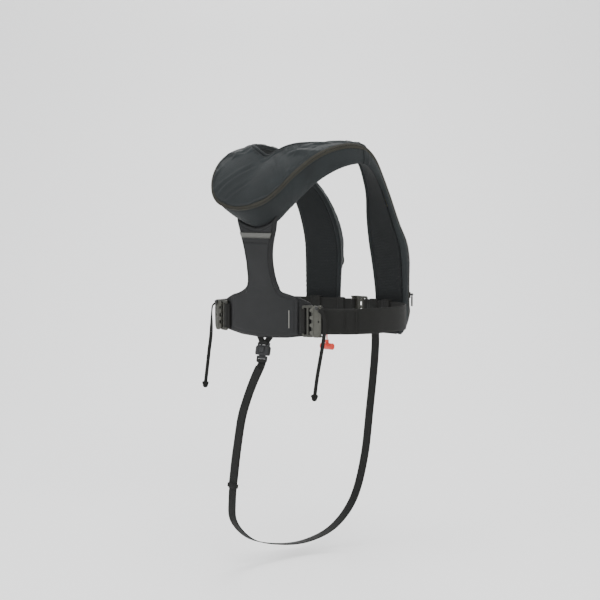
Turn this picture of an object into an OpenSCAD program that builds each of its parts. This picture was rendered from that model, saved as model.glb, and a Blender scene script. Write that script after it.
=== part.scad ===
// Inflatable life jacket with a built-in safety harness, in its worn shape.
// Frame: +Z up, the back faces +Y, the front faces -Y, the wearer's left is +X.
// The origin is the middle of the neck opening, level with the collar's back edge.

/* [Waist belt] */
// Half width of the worn belt loop
waist_a = 200; // [192:1:206]
// Half depth of the worn belt loop
waist_b = 132; // [128:1:134]
// Squareness of the loop, where 2 is an ellipse
waist_n = 2.6; // [2.4:0.1:2.8]
// Height of the belt's middle
belt_z = -308; // [-311:1:-305]
// Width of the belt webbing
belt_w = 48; // [44:1:50]
// Thickness of the belt webbing
belt_t = 2.6; // [2:0.1:3]

/* [Collar and lobes] */
// Thickness of the cover and lining laminates
skin_t = 2.4; // [1.8:0.1:2.8]
// Radius of the zip's coil and tape roll
zip_r = 2.6; // [2:0.1:3]
// Radius of the bound neck edge
binding_r = 3; // [2.4:0.1:3.2]

/* [Back panel] */
// Half width of the spine panel at its top
spine_top = 47; // [44:1:49]
// Half width of the spine panel at its waist
spine_mid = 34; // [30:1:37]
// Thickness of the spine panel
spine_t = 8.8; // [7:0.2:9]
// Half length of the lumbar pad along X
pad_half = 116; // [110:1:118]
// Half length of the laminated lumbar cover along X
cover_half = 88; // [80:1:90]

/* [Hook buckles] */
// Height of the hook plates and frames
hook_h = 60; // [56:1:62]
// Thickness of the frames
frame_t = 3.6; // [3:0.1:4]
// Thickness of the hook plates
plate_t = 3; // [2:0.1:3.4]
// Radius of the pin that the webbing loops around
pin_r = 2; // [1.6:0.1:2.2]

/* [Crotch strap] */
// Width of the crotch strap webbing
strap_w = 20; // [16:1:22]
// Thickness of the crotch strap webbing
strap_t = 1.8; // [1.4:0.1:2.2]
// Width of the quick-release buckle
buckle_w = 33; // [31:1:36]
// Lean of the quick-release buckle with the lower back
buckle_lean = 12; // [8:1:14]

/* [Inflation gear] */
// Radius of the gas cylinder
cylinder_r = 13; // [11:0.5:13.5]
// Length of the gas cylinder's straight body
cylinder_l = 70; // [60:1:76]
// Radius of the oral inflation tube
oral_r = 5; // [4.5:0.1:5.5]
// Radius of the harness ring's hole
ring_r = 8; // [7:0.5:9]

/* [Hidden] */
cloth = [0.15, 0.17, 0.18];
webbing = [0.09, 0.09, 0.09];
metal = [0.42, 0.42, 0.40];
moulded = [0.06, 0.06, 0.065];
eps = 0.01;

// ---- Collar and lobes: one ring of sections from the right lobe's foot over the back to the left's.
// Each station of the left half gives the neck edge, the rim that the zip follows and the base on
// the wearer, then how far the cover rises near its neck edge and near its rim.
STATIONS = [
    [[0, 121, 4],      [0, 203, -97],      [0, 142, -132],     12, 14],
    [[20, 119, 12],    [34, 201, -93],     [38, 138, -122],    12, 14],
    [[38, 114, 20],    [64, 195, -82],     [65, 132, -98],     12, 14],
    [[56, 105, 25],    [87, 184, -62],     [86, 123, -76],     12, 14],
    [[71, 91, 27],     [105, 163, -34],    [104, 110, -54],    12, 13],
    [[82, 69, 28],     [120, 127, -5],     [121, 90, -35],     12, 13],
    [[88, 42, 27],     [128, 82, 14],      [132, 62, -21],     12, 13],
    [[90, 10, 23],     [132, 32, 22],      [135, 26, -13],     13, 14],
    [[88, -22, 12],    [130, -13, 17],     [132, -10, -12],    15, 16],
    [[82, -53, -9],    [125, -49, -3],     [127, -43, -28],    19, 20],
    [[71, -81, -37],   [119, -82, -40],    [121, -73, -57],    27, 27],
    [[58, -107, -71],  [117, -110, -84],   [119, -96, -93],    36, 34],
    [[46, -124, -114], [119, -132, -128],  [121, -113, -131],  42, 41],
    [[41, -137, -160], [124, -150, -166],  [125, -126, -166],  46, 46],
    [[43, -144, -200], [126, -156, -200],  [127, -131, -200],  49, 49],
    [[47, -147, -236], [126, -156, -236],  [128, -133, -236],  50, 50],
    [[50, -149, -272], [126, -156, -272],  [128, -134, -272],  50, 50],
    [[50, -150, -308], [126, -156, -308],  [128, -135, -308],  46, 46],
    [[51, -150, -334], [120, -155, -334],  [121, -138, -334],  34, 30],
    [[60, -149, -352], [108, -153, -352],  [108, -144, -352],  10, 8]];
last = len(STATIONS) - 1;
shoulder = 8;          // the station where the collar's cover meets a lobe's cover
substeps = 2;          // sections drawn between one station and the next
seam_gap = 0.06;       // half of the gap between two covers, in stations
edge_gap = 1.6;        // from a cover's edge to the zip or the binding beside it
base_gap = 2.4;        // from the base corner to the wall or the lining

function flip(p) = [-p.x, p.y, p.z];
function column(i) = [for (s = STATIONS) s[i]];
function ring(list) = concat([for (k = [last:-1:1]) flip(list[k])], list);
function ring_of_numbers(list) = concat([for (k = [last:-1:1]) list[k]], list);
NECK = ring(column(0));
RIM = ring(column(1));
BASE = ring(column(2));
RISE_NECK = ring_of_numbers(column(3));
RISE_RIM = ring_of_numbers(column(4));

// A Catmull-Rom spline through a list of points or numbers, at u list steps from its start.
function spline(list, u) =
    let (n = len(list) - 1, i = max(0, min(floor(u), n - 1)), t = u - i)
    let (a = list[max(i - 1, 0)], b = list[i], c = list[i + 1], d = list[min(i + 2, n)])
    0.5 * (2 * b + (c - a) * t + (2 * a - 5 * b + 4 * c - d) * t * t
        + (3 * b - a - 3 * c + d) * t * t * t);
function unit(v) = v / norm(v);
// The matrix that carries children to a point, with its columns as their axes.
function pose(x, y, z, at) = [[x.x, y.x, z.x, at.x], [x.y, y.y, z.y, at.y], [x.z, y.z, z.z, at.z]];
function bezier(a, b, c, d, s) =
    let (r = 1 - s) r * r * r * a + 3 * r * r * s * b + 3 * r * s * s * c + s * s * s * d;

// The section at u: its origin, its two axes, and its rim and base corners in those axes.
function section(u) =
    let (neck = spline(NECK, u), rim = spline(RIM, u), base = spline(BASE, u))
    let (across = unit(base - neck), slant = rim - neck, along = slant * across)
    let (up = unit(slant - along * across))
    [neck, across, up, [along, slant * up], [norm(base - neck), 0],
        spline(RISE_NECK, u), spline(RISE_RIM, u)];
function place(sec, p) = sec[0] + p.x * sec[1] + p.y * sec[2];

function cover_curve(sec, s) =
    bezier([0, 0], [2, sec[5]], [sec[3].x * 0.74, sec[3].y + sec[6]], sec[3], s);
function wall_curve(sec, s) =
    bezier(sec[3], sec[3] + [9, -2], sec[4] + [9, 4], sec[4], s);
function lining_curve(sec, s) = (1 - s) * sec[4];
function curve(kind, sec, s) =
    kind == 0 ? cover_curve(sec, s) : kind == 1 ? wall_curve(sec, s) : lining_curve(sec, s);
function normal(kind, sec, s) =
    let (d = unit(curve(kind, sec, s + eps) - curve(kind, sec, s - eps))) [-d.y, d.x];

// Where each skin starts and ends along its curve, so that it stops short of its neighbours.
function start_of(kind, sec) =
    kind == 0 ? (binding_r + edge_gap) / (3 * norm([2, sec[5]]))
    : kind == 1 ? (zip_r + edge_gap) / (3 * norm([9, -2]))
    : base_gap / sec[4].x;
function end_of(kind, sec) =
    kind == 0 ? 1 - (zip_r + edge_gap) / (3 * norm([sec[3].x * 0.26, sec[6]]))
    : kind == 1 ? 1 - base_gap / norm(sec[4] - sec[3])
    : 1 - (binding_r + edge_gap + 1) / sec[4].x;
function skin_loop(kind, u, steps) =
    let (sec = section(u), a = start_of(kind, sec), b = end_of(kind, sec))
    let (stops = [for (i = [0:steps]) a + (b - a) * i / steps])
    concat([for (s = stops) place(sec, curve(kind, sec, s))],
        [for (i = [steps:-1:0]) place(sec, curve(kind, sec, stops[i])
            - skin_t * normal(kind, sec, stops[i]))]);
function round_loop(u, centre, r, sides) =
    let (sec = section(u))
    [for (i = [0:sides - 1]) place(sec, (centre == 0 ? [0, 0] : sec[3])
        + r * [sin(i * 360 / sides), cos(i * 360 / sides)])];
// The folded bladder fills the collar, and lies flat against the lining of the lobes.
bladder_top = 8;
function bladder_loop(u) =
    let (sec = section(u), w = sec[4].x, lobe = min(1, max(0, (abs(u - last) - 9) / 3)))
    let (high = (1 - lobe) * sec[3].y * 0.74 + lobe * bladder_top, low = skin_t + 2.35)
    [for (p = [[0.16 * w, low], [0.16 * w, low + 5], [0.42 * w, low + 2 + 0.4 * high],
        [0.7 * w, high], [(0.8 + 0.1 * lobe) * w, 0.86 * high], [0.9 * w, low]]) place(sec, p)];

function stops(from, to) = [for (i = [0:round((to - from) * substeps)])
    from + (to - from) * i / round((to - from) * substeps)];
function tube_faces(rings, sides) = concat(
    [[for (i = [0:sides - 1]) i]],
    [for (r = [0:rings - 2], i = [0:sides - 1]) let (j = (i + 1) % sides)
        [r * sides + j, r * sides + i, (r + 1) * sides + i, (r + 1) * sides + j]],
    [[for (i = [sides - 1:-1:0]) (rings - 1) * sides + i]]);
module loft(loops) {
    sides = len(loops[0]);
    polyhedron([for (l = loops, p = l) p], tube_faces(len(loops), sides), convexity = 6);
}
module skin(kind, from, to, steps) {
    color(cloth) loft([for (u = stops(from, to)) skin_loop(kind, u, steps)]);
}
collar_from = last - shoulder + seam_gap;
collar_to = last + shoulder - seam_gap;
module right_part(kind, steps) skin(kind, 0, last - shoulder - seam_gap, steps);
module left_part(kind, steps) skin(kind, last + shoulder + seam_gap, 2 * last, steps);
module collar_part(kind, steps) skin(kind, collar_from, collar_to, steps);

// Children stand on the cover at u along the ring and s across it, with +Z pointing out.
module on_cover(u, s) {
    sec = section(u);
    d = normal(0, sec, s);
    z = d.x * sec[1] + d.y * sec[2];
    x = d.y * sec[1] - d.x * sec[2];
    multmatrix(pose(x, cross(z, x), z, place(sec, curve(0, sec, s)))) children();
}
window_u = last + 14.2;
window_s = 0.46;
window_r = 9;
module left_lobe_cover() color(cloth) difference() {
    left_part(0, 6);
    on_cover(window_u, window_s) cylinder(h = 20, r = window_r + 1.4, center = true, $fn = 60);
}
module status_window_bezel() color(moulded) on_cover(window_u, window_s) difference() {
    union() {
        translate([0, 0, 0.4]) cylinder(h = 1.8, r = window_r + 3.6, $fn = 60);
        translate([0, 0, -4]) cylinder(h = 5, r = window_r + 1, $fn = 60);
    }
    translate([0, 0, -5]) cylinder(h = 9, r = window_r - 1.2, $fn = 60);
    translate([0, 0, -2.4]) cylinder(h = 9, r = window_r - 0.4, $fn = 60);
}
module status_window_lens() color([0.8, 0.9, 0.9, 0.4]) on_cover(window_u, window_s)
    translate([0, 0, -2.4]) cylinder(h = 1.4, r = window_r - 0.75, $fn = 60);
module burst_zip() color(moulded) loft([for (u = stops(0, 2 * last)) round_loop(u, 1, zip_r, 6)]);
module neck_binding() color(cloth) loft([for (u = stops(0, 2 * last)) round_loop(u, 0, binding_r, 6)]);
module bladder() color([0.85, 0.75, 0.1]) loft([for (u = stops(1.6, 2 * last - 1.6)) bladder_loop(u)]);

// ---- Waist: the belt loop is a superellipse, and things on it stand on its tangent.
function waist_y(x, off = 0) =
    (waist_b + off) * pow(1 - pow(abs(x) / (waist_a + off), waist_n), 1 / waist_n);
function waist_point(phi, off = 0) =
    [(waist_a + off) * sign(sin(phi)) * pow(abs(sin(phi)), 2 / waist_n),
        (waist_b + off) * sign(cos(phi)) * pow(abs(cos(phi)), 2 / waist_n)];
function waist_phi(x, off = 0) = asin(pow(x / (waist_a + off), waist_n / 2));
function waist_tilt(x) = atan2(waist_y(x - 1) - waist_y(x + 1), 2);
// Children stand at x on the back of the loop: local +X runs towards the wearer's left along the
// tangent, +Y points out and +Z is up from the belt's middle.
module on_waist(x) {
    translate([x, waist_y(x), belt_z]) rotate([0, 0, -waist_tilt(x)]) children();
}
module back_band(half, low, high, z0, z1) {
    n = 14;
    xs = [for (i = [-n:n]) half * i / n];
    translate([0, 0, z0]) linear_extrude(z1 - z0)
        polygon(concat([for (x = xs) [x, waist_y(x, low)]],
            [for (i = [2 * n:-1:0]) [xs[i], waist_y(xs[i], high)]]));
}
module front_outline(points) {
    translate([0, 300, 0]) rotate([90, 0, 0]) linear_extrude(600)
        polygon(concat(points, [for (i = [len(points) - 1:-1:0]) [-points[i].x, points[i].y]]));
}

// ---- Spine panel: it follows the back, and its foot laps over the lumbar pad.
SPINE = [[150, -100], [149, -120], [147.4, -136], [147.5, -150], [146.5, -170], [143.5, -195], [139, -220],
    [134.5, -240], [132.6, -252.4]];
module spine_profile(low, high, half) {
    translate([-half, 0, 0]) rotate([90, 0, 90]) linear_extrude(2 * half)
        polygon(concat([for (p = SPINE) p + [low, 0]],
            [for (i = [len(SPINE) - 1:-1:0]) SPINE[i] + [high, 0]]));
}
module spine_panel() color(cloth) intersection() {
    spine_profile(0, spine_t, spine_top + 12);
    front_outline([[0, -134.5], [20, -131], [38, -124], [spine_top + 5, -113.5], [spine_top + 3, -124],
        [spine_top - 1, -140], [spine_top - 6, -157], [spine_mid + 2, -178], [spine_mid, -200],
        [spine_mid + 1, -225], [spine_mid + 3, -251.6], [0, -251.6]]);
}
band_t = 1.4;
module spine_band() color([0.2, 0.2, 0.19]) intersection() {
    spine_profile(spine_t + 0.3, spine_t + 0.3 + band_t, spine_top);
    front_outline([[spine_top - 4, -142], [spine_top - 9, -154]]);
}

// ---- Lumbar pad and the laminated cover bonded on it.
pad_in = 0.6;
pad_out = 6;
cover_in = 6.4;
cover_out = 9.4;
module lumbar_pad() color(cloth) intersection() {
    back_band(pad_half, pad_in, pad_out, -349, -251);
    front_outline([[spine_mid + 2, -253], [54, -257], [cover_half, -265], [pad_half - 8, -273],
        [pad_half, -281], [pad_half, -332], [pad_half - 6, -336], [60, -343], [0, -346]]);
}
module lumbar_cover() color([0.13, 0.14, 0.15]) intersection() {
    back_band(cover_half, cover_in, cover_out, -347, -252.6);
    front_outline([[spine_mid + 5, -253], [54, -259], [cover_half, -267], [cover_half, -335],
        [50, -340], [0, -343]]);
}
tick_x = -70;
module lumbar_tick() color([0.5, 0.5, 0.5]) translate([tick_x, waist_y(tick_x, cover_out) + 0.3, belt_z + 2])
    rotate([0, 0, -waist_tilt(tick_x)]) translate([0, 0.4, 0]) cube([1.6, 0.8, 34], center = true);

// ---- Hook buckle: a two-slot frame, and a hook plate that lips over the frame's outer bar and
// carries the pin that the webbing loops around. Local +X points from the frame to the webbing.
frame_u = 24;            // the frame's length along the belt
frame_n = 8.6;           // its lower face above the wearer
bar_u = 4.4;             // each bar's width
slot_h = 50;
plate_from = 3.2;
plate_to = 30;
plate_n = frame_n + frame_t + 0.4;
loop_r = pin_r + 0.35;
pin_at = [25, plate_n - 0.4 - belt_t - loop_r];
lip_t = 2.6;
cord_hole_r = 2.2;
module rounded_plate(l, h, r) {
    offset(r) offset(-r) square([l, h], center = true);
}
module rounded_bar(l, h, r, t) {
    linear_extrude(t) union() {
        square([l - 2 * r, h], center = true);
        square([l, h - 2 * r], center = true);
        for (x = [-1, 1], y = [-1, 1])
            translate([x * (l / 2 - r), y * (h / 2 - r)]) circle(r, $fn = 40);
    }
}
// Lays a plate drawn in X and Z flat against the belt, its thickness from n outwards.
module flat_at(n) {
    translate([0, n, 0]) rotate([-90, 0, 0]) children();
}
module hook_frame() {
    slot_a = (frame_u - 3 * bar_u) / 2;
    color(metal) flat_at(frame_n) difference() {
        rounded_bar(frame_u, hook_h, 4, frame_t);
        for (s = [-1, 1]) translate([s * (bar_u + slot_a) / 2, 0, -1])
            rounded_bar(slot_a, slot_h, 1, frame_t + 2);
    }
}
module hook_plate() {
    color(metal) {
        flat_at(plate_n) linear_extrude(plate_t) difference() {
            polygon([[plate_from, -hook_h / 2], [plate_to - 8, -hook_h / 2],
                [plate_to, -hook_h / 2 + 12], [plate_to, hook_h / 2 - 12],
                [plate_to - 8, hook_h / 2], [plate_from, hook_h / 2]]);
            translate([plate_to - 6, 0]) circle(cord_hole_r, $fn = 40);
        }
        translate([plate_from, frame_n + 0.2, -22]) cube([lip_t, plate_n - frame_n - 0.2 + eps, 44]);
        for (s = [-1, 1]) translate([pin_at.x, (pin_at.y + plate_n) / 2, s * (hook_h / 2 - 2)])
            cube([2 * pin_r + 2.5, plate_n - pin_at.y + 2 * pin_r + 0.1, 3.6], center = true);
        translate([pin_at.x, pin_at.y, 0]) cylinder(h = hook_h - 7, r = pin_r, center = true, $fn = 48);
    }
}
// The webbing that ties a frame's inner bar to the pad, as a closed loop around the bar.
module frame_loop() {
    t = 1.6;
    g = 0.35;
    x0 = -frame_u / 2 - g;
    x1 = -frame_u / 2 + bar_u + g;
    low = frame_n - g;
    high = frame_n + frame_t + g;
    color(webbing) translate([0, 0, -slot_h / 2 + 2]) linear_extrude(slot_h - 4) difference() {
        polygon([[x0 - 5, low - t], [x1 + t - 0.8, low - t], [x1 + t, low], [x1 + t, high],
            [x1 + t - 0.8, high + t], [x0, high + t], [x0 - 5, low + t]]);
        polygon([[x0, low], [x1, low], [x1, high], [x0, high]]);
    }
}

rear_x = 108;
module rear_left() on_waist(rear_x) children();
module rear_right() mirror([1, 0, 0]) rear_left() children();
// The front set faces -Y, with its webbing pin on the wearer's left.
front_shift = -20;
module on_front(x) mirror([0, 1, 0]) on_waist(x) children();
module front_set() translate([front_shift, -waist_b, belt_z]) mirror([0, 1, 0]) children();

// ---- Waist belt: from the rear pin round the side to the front set.
belt_in = 0.8;
belt_off = belt_in + belt_t / 2;
function rear_frame_point(u, n) =
    let (a = -waist_tilt(rear_x)) [rear_x + u * cos(a) - n * sin(a),
        waist_y(rear_x) + u * sin(a) + n * cos(a)];
function front_frame_point(u, n) = [front_shift + u, -waist_b - n];
function left_of(a, b) = let (d = unit(b - a)) [-d.y, d.x];
function band_side(path, off) = [for (i = [0:len(path) - 1])
    path[i] + off * left_of(path[max(i - 1, 0)], path[min(i + 1, len(path) - 1)])];
module band(path) {
    polygon(concat(band_side(path, belt_t / 2),
        [for (i = [len(path) - 1:-1:0]) band_side(path, -belt_t / 2)[i]]));
}
loop_mid = loop_r + belt_t / 2 + 0.06;
ring_foot = rear_frame_point(pin_at.x + 1.2, pin_at.y - loop_mid);
ring_lead = rear_frame_point(pin_at.x + 10, pin_at.y - loop_mid - 1.5);
function side_path(to) = [for (phi = [48:6:to]) waist_point(phi, belt_off)];
front_pin = front_frame_point(pin_at.x, pin_at.y);
front_lead = [for (p = [[36, 2.2], [pin_at.x + 1.2, pin_at.y - loop_mid]]) front_frame_point(p.x, p.y)];
module belt_solid() {
    translate([0, 0, belt_z - belt_w / 2]) linear_extrude(belt_w) children();
}
// A strap in plan with round eyes at its ends, for the pins.
module eyed(path, eyes) {
    difference() {
        union() {
            band(path);
            for (e = eyes) translate(e) circle(loop_r + belt_t, $fn = 60);
        }
        for (e = eyes) translate(e) circle(loop_r, $fn = 60);
    }
}
rear_pin = rear_frame_point(pin_at.x, pin_at.y);
module left_belt() color(webbing) {
    belt_solid() eyed(concat([ring_foot, ring_lead], side_path(174), front_lead), [rear_pin, front_pin]);
    belt_solid() eyed([ring_foot, ring_lead], [rear_pin]);
    belt_solid() eyed([for (i = [1:-1:0]) front_lead[i]], [front_pin]);
}
// The right half ends in a flat loop round the front frame's inner bar.
frame_lead = [for (p = [[-frame_u / 2 - 11, 1.1], [-frame_u / 2 - 4.5, 6.6], [-frame_u / 2 - 1.5, 7.8]])
    front_frame_point(p.x, p.y)];
module right_belt() {
    color(webbing) belt_solid() mirror([1, 0])
        eyed(concat([ring_foot, ring_lead], side_path(168), [for (p = frame_lead) [-p.x, p.y]]), [rear_pin]);
    front_set() frame_loop();
}

// ---- Loops that stand on the front of the belt.
belt_clear = 0.5;
module belt_ring(half_x, t, n_high) {
    low = belt_in - belt_clear;
    z = belt_w / 2 + belt_clear;
    translate([-half_x, 0, 0]) rotate([90, 0, 90]) linear_extrude(2 * half_x) difference() {
        translate([low - t, -z - t]) square([n_high - low + 2 * t, 2 * z + 2 * t]);
        translate([low, -z]) square([n_high - low, 2 * z]);
    }
}
keeper_x = 95;
module left_belt_keeper() color(webbing) on_front(keeper_x) {
    low = belt_in - 1.4;
    z = belt_w / 2 + belt_clear;
    translate([-12, 0, 0]) rotate([90, 0, 90]) linear_extrude(24) difference() {
        translate([low - 1.2, -z - 1.2]) square([8.8, 2 * z + 2.4]);
        translate([low, -z]) square([6.4, 2 * z]);
    }
}
module right_belt_keeper() mirror([1, 0, 0]) left_belt_keeper();

// The steel ring hangs in a webbing tunnel, and swings about the tunnel's line.
ring_x = 31;
wire_r = 2.8;
ring_loop_t = 1.6;
ring_bend = ring_r + wire_r;
ring_drop = 7;
ring_n = belt_in + belt_t + belt_clear + ring_loop_t + wire_r + 0.45;
module tether_ring_strap() color(webbing) on_front(ring_x) {
    difference() {
        union() {
            belt_ring(8, ring_loop_t, belt_in + belt_t + belt_clear);
            translate([0, ring_n, 0]) rotate([0, 90, 0])
                cylinder(h = 16, r = wire_r + 0.4 + ring_loop_t, center = true, $fn = 60);
        }
        translate([0, ring_n, 0]) rotate([0, 90, 0])
            cylinder(h = 20, r = wire_r + 0.4, center = true, $fn = 60);
    }
}
module tether_ring() color([0.7, 0.7, 0.7]) on_front(ring_x) translate([0, ring_n, 0]) {
    rotate([0, 90, 0]) cylinder(h = 2 * ring_bend, r = wire_r, center = true, $fn = 30);
    for (s = [-1, 1]) {
        translate([s * ring_bend, 0, 0]) sphere(wire_r, $fn = 30);
        translate([s * ring_bend, 0, -ring_drop]) cylinder(h = ring_drop, r = wire_r, $fn = 30);
    }
    translate([0, 0, -ring_drop]) rotate([90, 0, 0]) rotate([0, 0, 180])
        rotate_extrude(angle = 180, $fn = 48) translate([ring_bend, 0]) circle(wire_r, $fn = 24);
}

// ---- Release cords: each hangs from its hook plate's outer end to a knot.
cord_w = 7;
cord_t = 1.8;
CORD = [[plate_to - 4, 22, 17.3], [plate_to + 4.5, 16, 17.4], [plate_to + 8, 3, 15.5], [plate_to + 8, -18, 16],
    [plate_to + 6, -44, 20], [plate_to + 3, -74, 27], [plate_to, -104, 33], [plate_to - 2, -133, 38]];
function cord_point(p) = let (q = rear_frame_point(p.x, p.z)) [q.x, q.y, belt_z + p.y];
CORD_PATH = [for (p = CORD) cord_point(p)];
function frame_at(points, u, flat) =
    let (t = unit(spline(points, u + 0.02) - spline(points, u - 0.02)))
    let (side = unit(flat - t * (t * flat)))
    [side, cross(side, t), t, spline(points, u)];
function strip_loop(points, u, flat, w, t, off = 0) =
    let (f = frame_at(points, u, flat))
    [for (c = [[-1, -1], [-1, 1], [1, 1], [1, -1]])
        f[3] + f[0] * c.x * w / 2 + f[1] * (off + c.y * t / 2)];
module strip(points, from, to, steps, flat, w, t, off = 0) {
    loft([for (i = [0:steps]) strip_loop(points, from + (to - from) * i / steps, flat, w, t, off)]);
}
cord_flat = [cos(28), -sin(28), 0];
knot_r = 5.5;
module left_release_cord() color(webbing) strip(CORD_PATH, 0, len(CORD_PATH) - 1, 28, cord_flat, cord_w, cord_t);
module left_cord_knot() color(webbing)
    translate(cord_point([plate_to - 2.4, -133 - knot_r - 0.4, 39])) sphere(knot_r, $fn = 24);
module right_release_cord() mirror([1, 0, 0]) left_release_cord();
module right_cord_knot() mirror([1, 0, 0]) left_cord_knot();

// ---- Crotch strap: anchor, quick-release buckle, strap, its tail and the tail's keeper.
buckle_at = [0, 136.2, -369];
module at_buckle() translate(buckle_at) rotate([buckle_lean, 0, 0]) children();
body_n = 4.6;
body_low = -11;
body_high = 7;
bar_n = 1.6;
bar_z0 = 11.6;
bar_z1 = 14.5;
slot_n = 1.6;
tongue_n = 1.15;
anchor_t = 1.6;
gap = 0.35;
module plate_y(n) {
    rotate([90, 0, 0]) linear_extrude(2 * n, center = true) children();
}
module crotch_anchor() color(webbing) at_buckle() {
    difference() {
        translate([-11, -bar_n - gap - anchor_t, bar_z0 - gap - anchor_t])
            cube([22, 2 * (bar_n + gap + anchor_t), bar_z1 - bar_z0 + 2 * gap + 2 * anchor_t]);
        translate([-12, -bar_n - gap, bar_z0 - gap])
            cube([24, 2 * (bar_n + gap), bar_z1 - bar_z0 + 2 * gap]);
    }
    plate_y(anchor_t / 2) difference() {
        polygon([[-11, bar_z1 + 1], [11, bar_z1 + 1], [27, 34], [-27, 34]]);
        polygon([[0, 20], [13, 35], [-13, 35]]);
    }
}
button_w = 7;
button_z = 5.2;
module crotch_buckle_body() color(moulded) at_buckle() difference() {
    union() {
        plate_y(body_n) offset(3) offset(-3)
            translate([-buckle_w / 2, body_low]) square([buckle_w, body_high - body_low]);
        plate_y(bar_n) offset(2) offset(-2)
            translate([-buckle_w / 2 + 1, 0]) square([buckle_w - 2, bar_z1]);
    }
    translate([-12, -10, 8.4]) cube([24, 20, bar_z0 - 8.4]);
    translate([-8.5, -slot_n, body_low - 1]) cube([17, 2 * slot_n, 3 - body_low]);
    translate([-button_w - 0.4, 0, -button_z - 0.4]) cube([2 * button_w + 0.8, 20, 2 * button_z + 0.8]);
}
module crotch_buckle_button() color([0.1, 0.1, 0.1]) at_buckle() {
    translate([-button_w, 2.7, -button_z]) cube([2 * button_w, body_n - 1.9, 2 * button_z]);
    translate([-button_w + 1.2, 3, -button_z + 1.2]) cube([2 * button_w - 2.4, body_n - 1.4, 2 * button_z - 2.4]);
}
tongue_low = -23.6;
tongue_bar = -20.8;
module crotch_buckle_tongue() color(moulded) at_buckle() difference() {
    union() {
        plate_y(tongue_n) translate([-8, -13]) square([16, 14]);
        plate_y(tongue_n + 0.25) offset(2) offset(-2)
            translate([-13.5, tongue_low]) square([27, -12 - tongue_low]);
    }
    translate([-10.6, -5, tongue_bar]) cube([21.2, 10, 3]);
}
strap_start = tongue_low - gap - strap_t / 2;
loop_n = tongue_n + 0.25 + gap;
function buckle_point(n, z) = buckle_at
    + [0, n * cos(buckle_lean) - z * sin(buckle_lean), n * sin(buckle_lean) + z * cos(buckle_lean)];
crotch_x = -57;
crotch_y = -waist_y(crotch_x) - belt_off;
CROTCH = [buckle_point(0, strap_start), buckle_point(0, strap_start - 7) + [0.8, 0, 0], [11, 147, -425], [21, 157, -462], [28, 166, -502], [32, 174, -555],
    [35, 180, -608], [40, 182, -660], [43, 174, -706], [33, 135, -746], [17, 70, -765], [2, 5, -767],
    [-14, -58, -746], [-27, -105, -694], [-35, -130, -610], [-41, -140, -510], [-51, -141, -420],
    [crotch_x, -138, -368], [crotch_x, crotch_y, belt_z - belt_w / 2 - 1.4]];
across = [1, 0, 0];
module crotch_strap() color(webbing) {
    strip(CROTCH, 0, len(CROTCH) - 1, 54, across, strap_w, strap_t);
    at_buckle() difference() {
        translate([-strap_w / 2, -loop_n - strap_t, tongue_low - gap - strap_t])
            cube([strap_w, 2 * loop_n + 2 * strap_t, tongue_bar - tongue_low + 2 * gap + 2 * strap_t]);
        translate([-strap_w, -loop_n, tongue_low - gap])
            cube([2 * strap_w, 2 * loop_n, tongue_bar - tongue_low + 2 * gap]);
    }
    on_front(crotch_x) belt_ring(strap_w / 2, strap_t, belt_in + belt_t + belt_clear);
}
tail_off = strap_t + 0.4;
tail_end = 6.6;
module crotch_strap_tail() color(webbing)
    strip(CROTCH, 1.2, tail_end, 15, across, strap_w, strap_t, tail_off);
module crotch_tail_keeper() {
    f = frame_at(CROTCH, tail_end - 0.12, across);
    w = strap_w / 2 + 0.4;
    low = -strap_t / 2 - 0.4;
    high = tail_off + strap_t / 2 + 0.4;
    color(webbing) multmatrix(pose(f[0], f[1], f[2], f[3])) linear_extrude(8, center = true) difference() {
        translate([-w - 1, low - 1]) square([2 * w + 2, high - low + 2]);
        translate([-w, low]) square([2 * w, high - low]);
    }
}

// ---- Zip sliders: each rides outside the straight part of the zip, with a hinged pull.
zip_xy = [126, -156];
slider_z = -272;
slider_turn = 38;
pull_n = 8.6;
pull_pin_r = 0.9;
pull_bore = 1.3;
module at_slider() translate([zip_xy.x, zip_xy.y, slider_z]) rotate([0, 0, slider_turn]) mirror([0, 1, 0]) children();
module left_zip_slider() color(metal) at_slider() {
    translate([0, zip_r + 1.6, 0]) cube([6.8, 1.6, 12], center = true);
    for (s = [-1, 1]) translate([s * 2.85, (zip_r + 1.4 + pull_n + 1.4) / 2, 1])
        cube([1.1, pull_n + 1.4 - zip_r - 1.4, 4], center = true);
    translate([0, pull_n, 1]) rotate([0, 90, 0]) cylinder(h = 6, r = pull_pin_r, center = true, $fn = 24);
}
module left_zip_pull() color([0.3, 0.3, 0.3]) at_slider() translate([0, pull_n, 1]) {
    rotate([0, 90, 0]) difference() {
        cylinder(h = 4, r = 2.5, center = true, $fn = 36);
        cylinder(h = 5, r = pull_bore, center = true, $fn = 36);
    }
    translate([-2, -1, -5.5]) cube([4, 2, 3.6]);
    plate_y(1) offset(1.4) offset(-1.4) translate([-3.4, -24]) square([6.8, 20]);
}
module right_zip_slider() mirror([1, 0, 0]) left_zip_slider();
module right_zip_pull() mirror([1, 0, 0]) left_zip_pull();

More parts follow.
